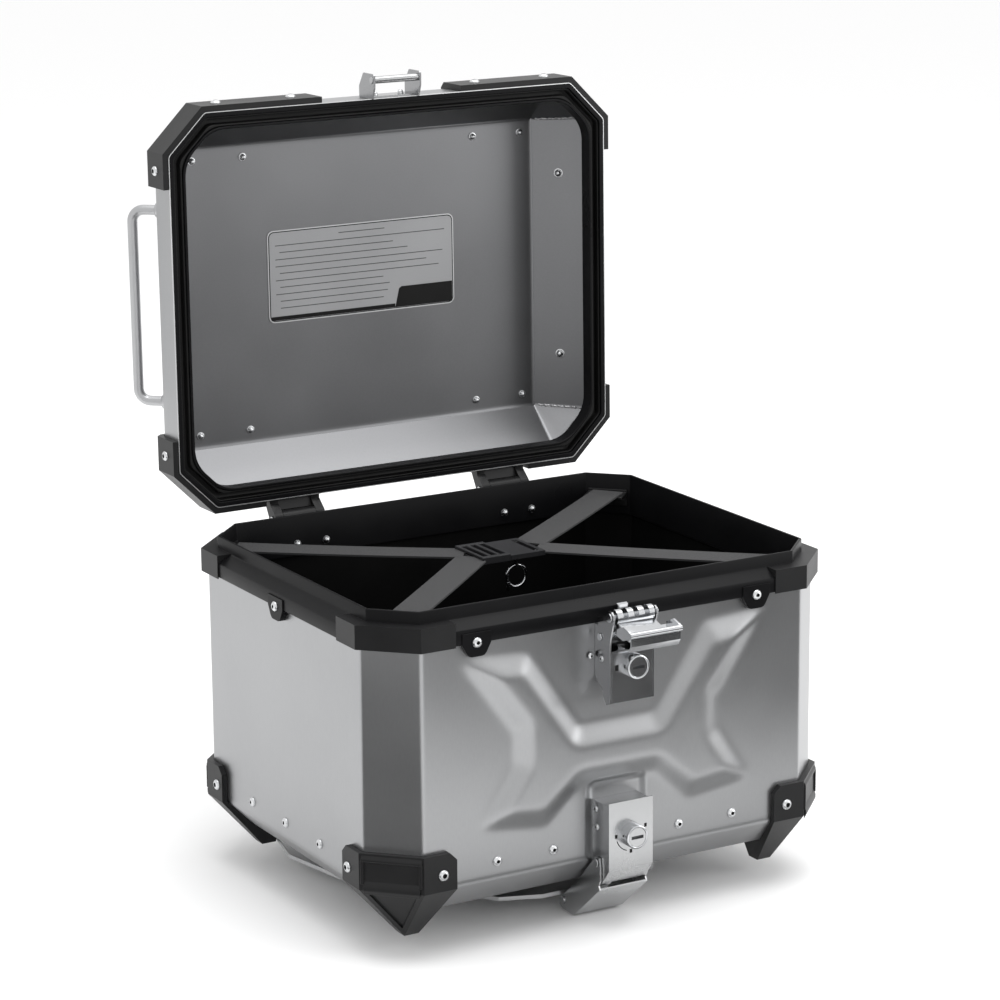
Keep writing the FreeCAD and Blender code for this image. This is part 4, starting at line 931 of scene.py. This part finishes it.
# ------------------------------------------------------------------ straps
def strap(name, points, width, thick, body, node_names):
    """Flat webbing along 3-D points, with its own length and width as UV in millimetres."""
    pts = [Vector(p) for p in points]
    bm = bmesh.new()
    uv = bm.loops.layers.uv.new("UVMap")
    rows = []
    length = 0.0
    across_n = 6
    for i, p in enumerate(pts):
        d = (pts[min(i + 1, len(pts) - 1)] - pts[max(i - 1, 0)]).normalized()
        side = Vector((-d.y, d.x, 0)).normalized()
        up = d.cross(side) * -1
        if up.z < 0:
            up = -up
        if i:
            length += (p - pts[i - 1]).length
        across = [side * (width * (j / across_n - 0.5)) for j in range(across_n + 1)]
        top = [bm.verts.new(p + w + up * thick / 2) for w in across]
        low = [bm.verts.new(p + w - up * thick / 2) for w in across]
        rows.append((top, low, length))
    for (t0, l0, s0), (t1, l1, s1) in zip(rows, rows[1:]):
        for (a, b), flip in (((t0, t1), False), ((l0, l1), True)):
            for j in range(across_n):
                corners = [(a[j], s0, j), (a[j + 1], s0, j + 1), (b[j + 1], s1, j + 1), (b[j], s1, j)]
                if flip:
                    corners = [corners[0], corners[3], corners[2], corners[1]]
                f = bm.faces.new([c[0] for c in corners])
                for loop, (_, u, v) in zip(f.loops, corners):
                    loop[uv].uv = (u, v * width / across_n)
        for j in (0, across_n):
            bm.faces.new([t0[j], t1[j], l1[j], l0[j]])
    for t_, l_, _ in (rows[0], rows[-1]):
        bm.faces.new(t_ + l_[::-1])
    obj = piece(name, bm, body, WEB, angle=40)
    if node_names:
        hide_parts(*node_names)
    return obj


def leg(p, q, sag, n=24):
    out = []
    for i in range(n + 1):
        t = i / n
        out.append((p[0] + (q[0] - p[0]) * t, p[1] + (q[1] - p[1]) * t,
                    p[2] + (q[2] - p[2]) * t - sag * 4 * t * (1 - t)))
    return out


BUCKLE_X, BUCKLE_Y, Z_STRAP = 30.0, 12.0, 260.9
for s, side in ((-1, "left"), (1, "right")):
    for sy, end in ((-1, "front"), (1, "back")):
        p = (s * 178, sy * 134, Z_STRAP)
        q = (s * BUCKLE_X, BUCKLE_Y + sy * 7, Z_STRAP + 0.05 * sy)
        strap("strap_%s_%s" % (side, end), leg(p, q, 0.6), 27, 1.5, "case",
              ["strap_" + side] if sy < 0 else [])

# ------------------------------------------------------------------ stage
scene = bpy.context.scene
bm = bmesh.new()
bmesh.ops.create_grid(bm, x_segments=1, y_segments=1, size=40)
me = bpy.data.meshes.new("floor")
bm.to_mesh(me)
floor = bpy.data.objects.new("floor", me)
scene.collection.objects.link(floor)
floor.location = (0, 0, -0.001)
m, nt, s = tree("pale_floor")
s.inputs["Base Color"].default_value = (0.97, 0.97, 0.97, 1)
nt.links.new(ramp(nt, noise(nt, coords(nt), 3.0), 0.86, 0.92, 0.3, 0.7), s.inputs["Roughness"])
s.inputs["Specular IOR Level"].default_value = 0.1
me.materials.append(m)


def lamp(name, size, power, place, aim):
    """Square softbox at place, facing aim."""
    data = bpy.data.lights.new(name, "AREA")
    data.shape = "RECTANGLE"
    data.size = size
    data.size_y = size
    data.energy = power
    obj = bpy.data.objects.new(name, data)
    scene.collection.objects.link(obj)
    obj.location = place
    d = Vector(aim) - Vector(place)
    obj.rotation_euler = d.to_track_quat("-Z", "Y").to_euler()
    return obj


lamp("top", 2.2, 40, (0.2, -0.2, 2.4), (0, 0, 0.2))
lamp("right_front", 1.4, 14, (2.0, -1.6, 0.8), (0.1, 0, 0.15))


def card(name, corners, tone):
    """Dark studio cloth on the floor that only mirrors into glossy surfaces."""
    bm = bmesh.new()
    bm.faces.new([bm.verts.new((x, y, 0.001)) for x, y in corners])
    me = bpy.data.meshes.new(name)
    bm.to_mesh(me)
    obj = bpy.data.objects.new(name, me)
    scene.collection.objects.link(obj)
    m, nt, s = tree(name + "_cloth")
    s.inputs["Base Color"].default_value = (tone, tone, tone, 1)
    s.inputs["Roughness"].default_value = 1.0
    me.materials.append(m)
    obj.visible_camera = False
    obj.visible_diffuse = False
    obj.visible_shadow = False
    return obj


card("cloth_corner", [(-0.2, -0.42), (-0.44, -0.08), (-1.5, -0.3), (-0.95, -1.2)], 0.02)
card("cloth_near", [(-0.3, -0.26), (0.42, -0.26), (0.42, -0.365), (-0.3, -0.365)], 0.3)
card("cloth_front", [(0.08, -0.66), (0.62, -0.36), (2.4, -1.2), (1.6, -2.8), (0.1, -2.4)], 0.02)
world = bpy.data.worlds.new("studio")
scene.world = world
world.use_nodes = True
world.node_tree.nodes["Background"].inputs["Color"].default_value = (1, 1, 1, 1)
world.node_tree.nodes["Background"].inputs["Strength"].default_value = 1.0
scene.view_settings.view_transform = "Standard"

cam = bpy.data.cameras.new("camera")
cam.lens = 125.2
cam.sensor_width = 36.0
cam.clip_end = 100
cam_obj = bpy.data.objects.new("camera", cam)
scene.collection.objects.link(cam_obj)
right = Vector((0.86400261, -0.5034323, -0.00744343))
up = Vector((0.12836126, 0.20595328, 0.97010651))
backward = right.cross(up)
rot = Matrix((right, up, backward)).transposed().to_4x4()
cam_obj.matrix_world = Matrix.Translation((-1.36108, -2.39793, 0.98080)) @ rot
scene.camera = cam_obj
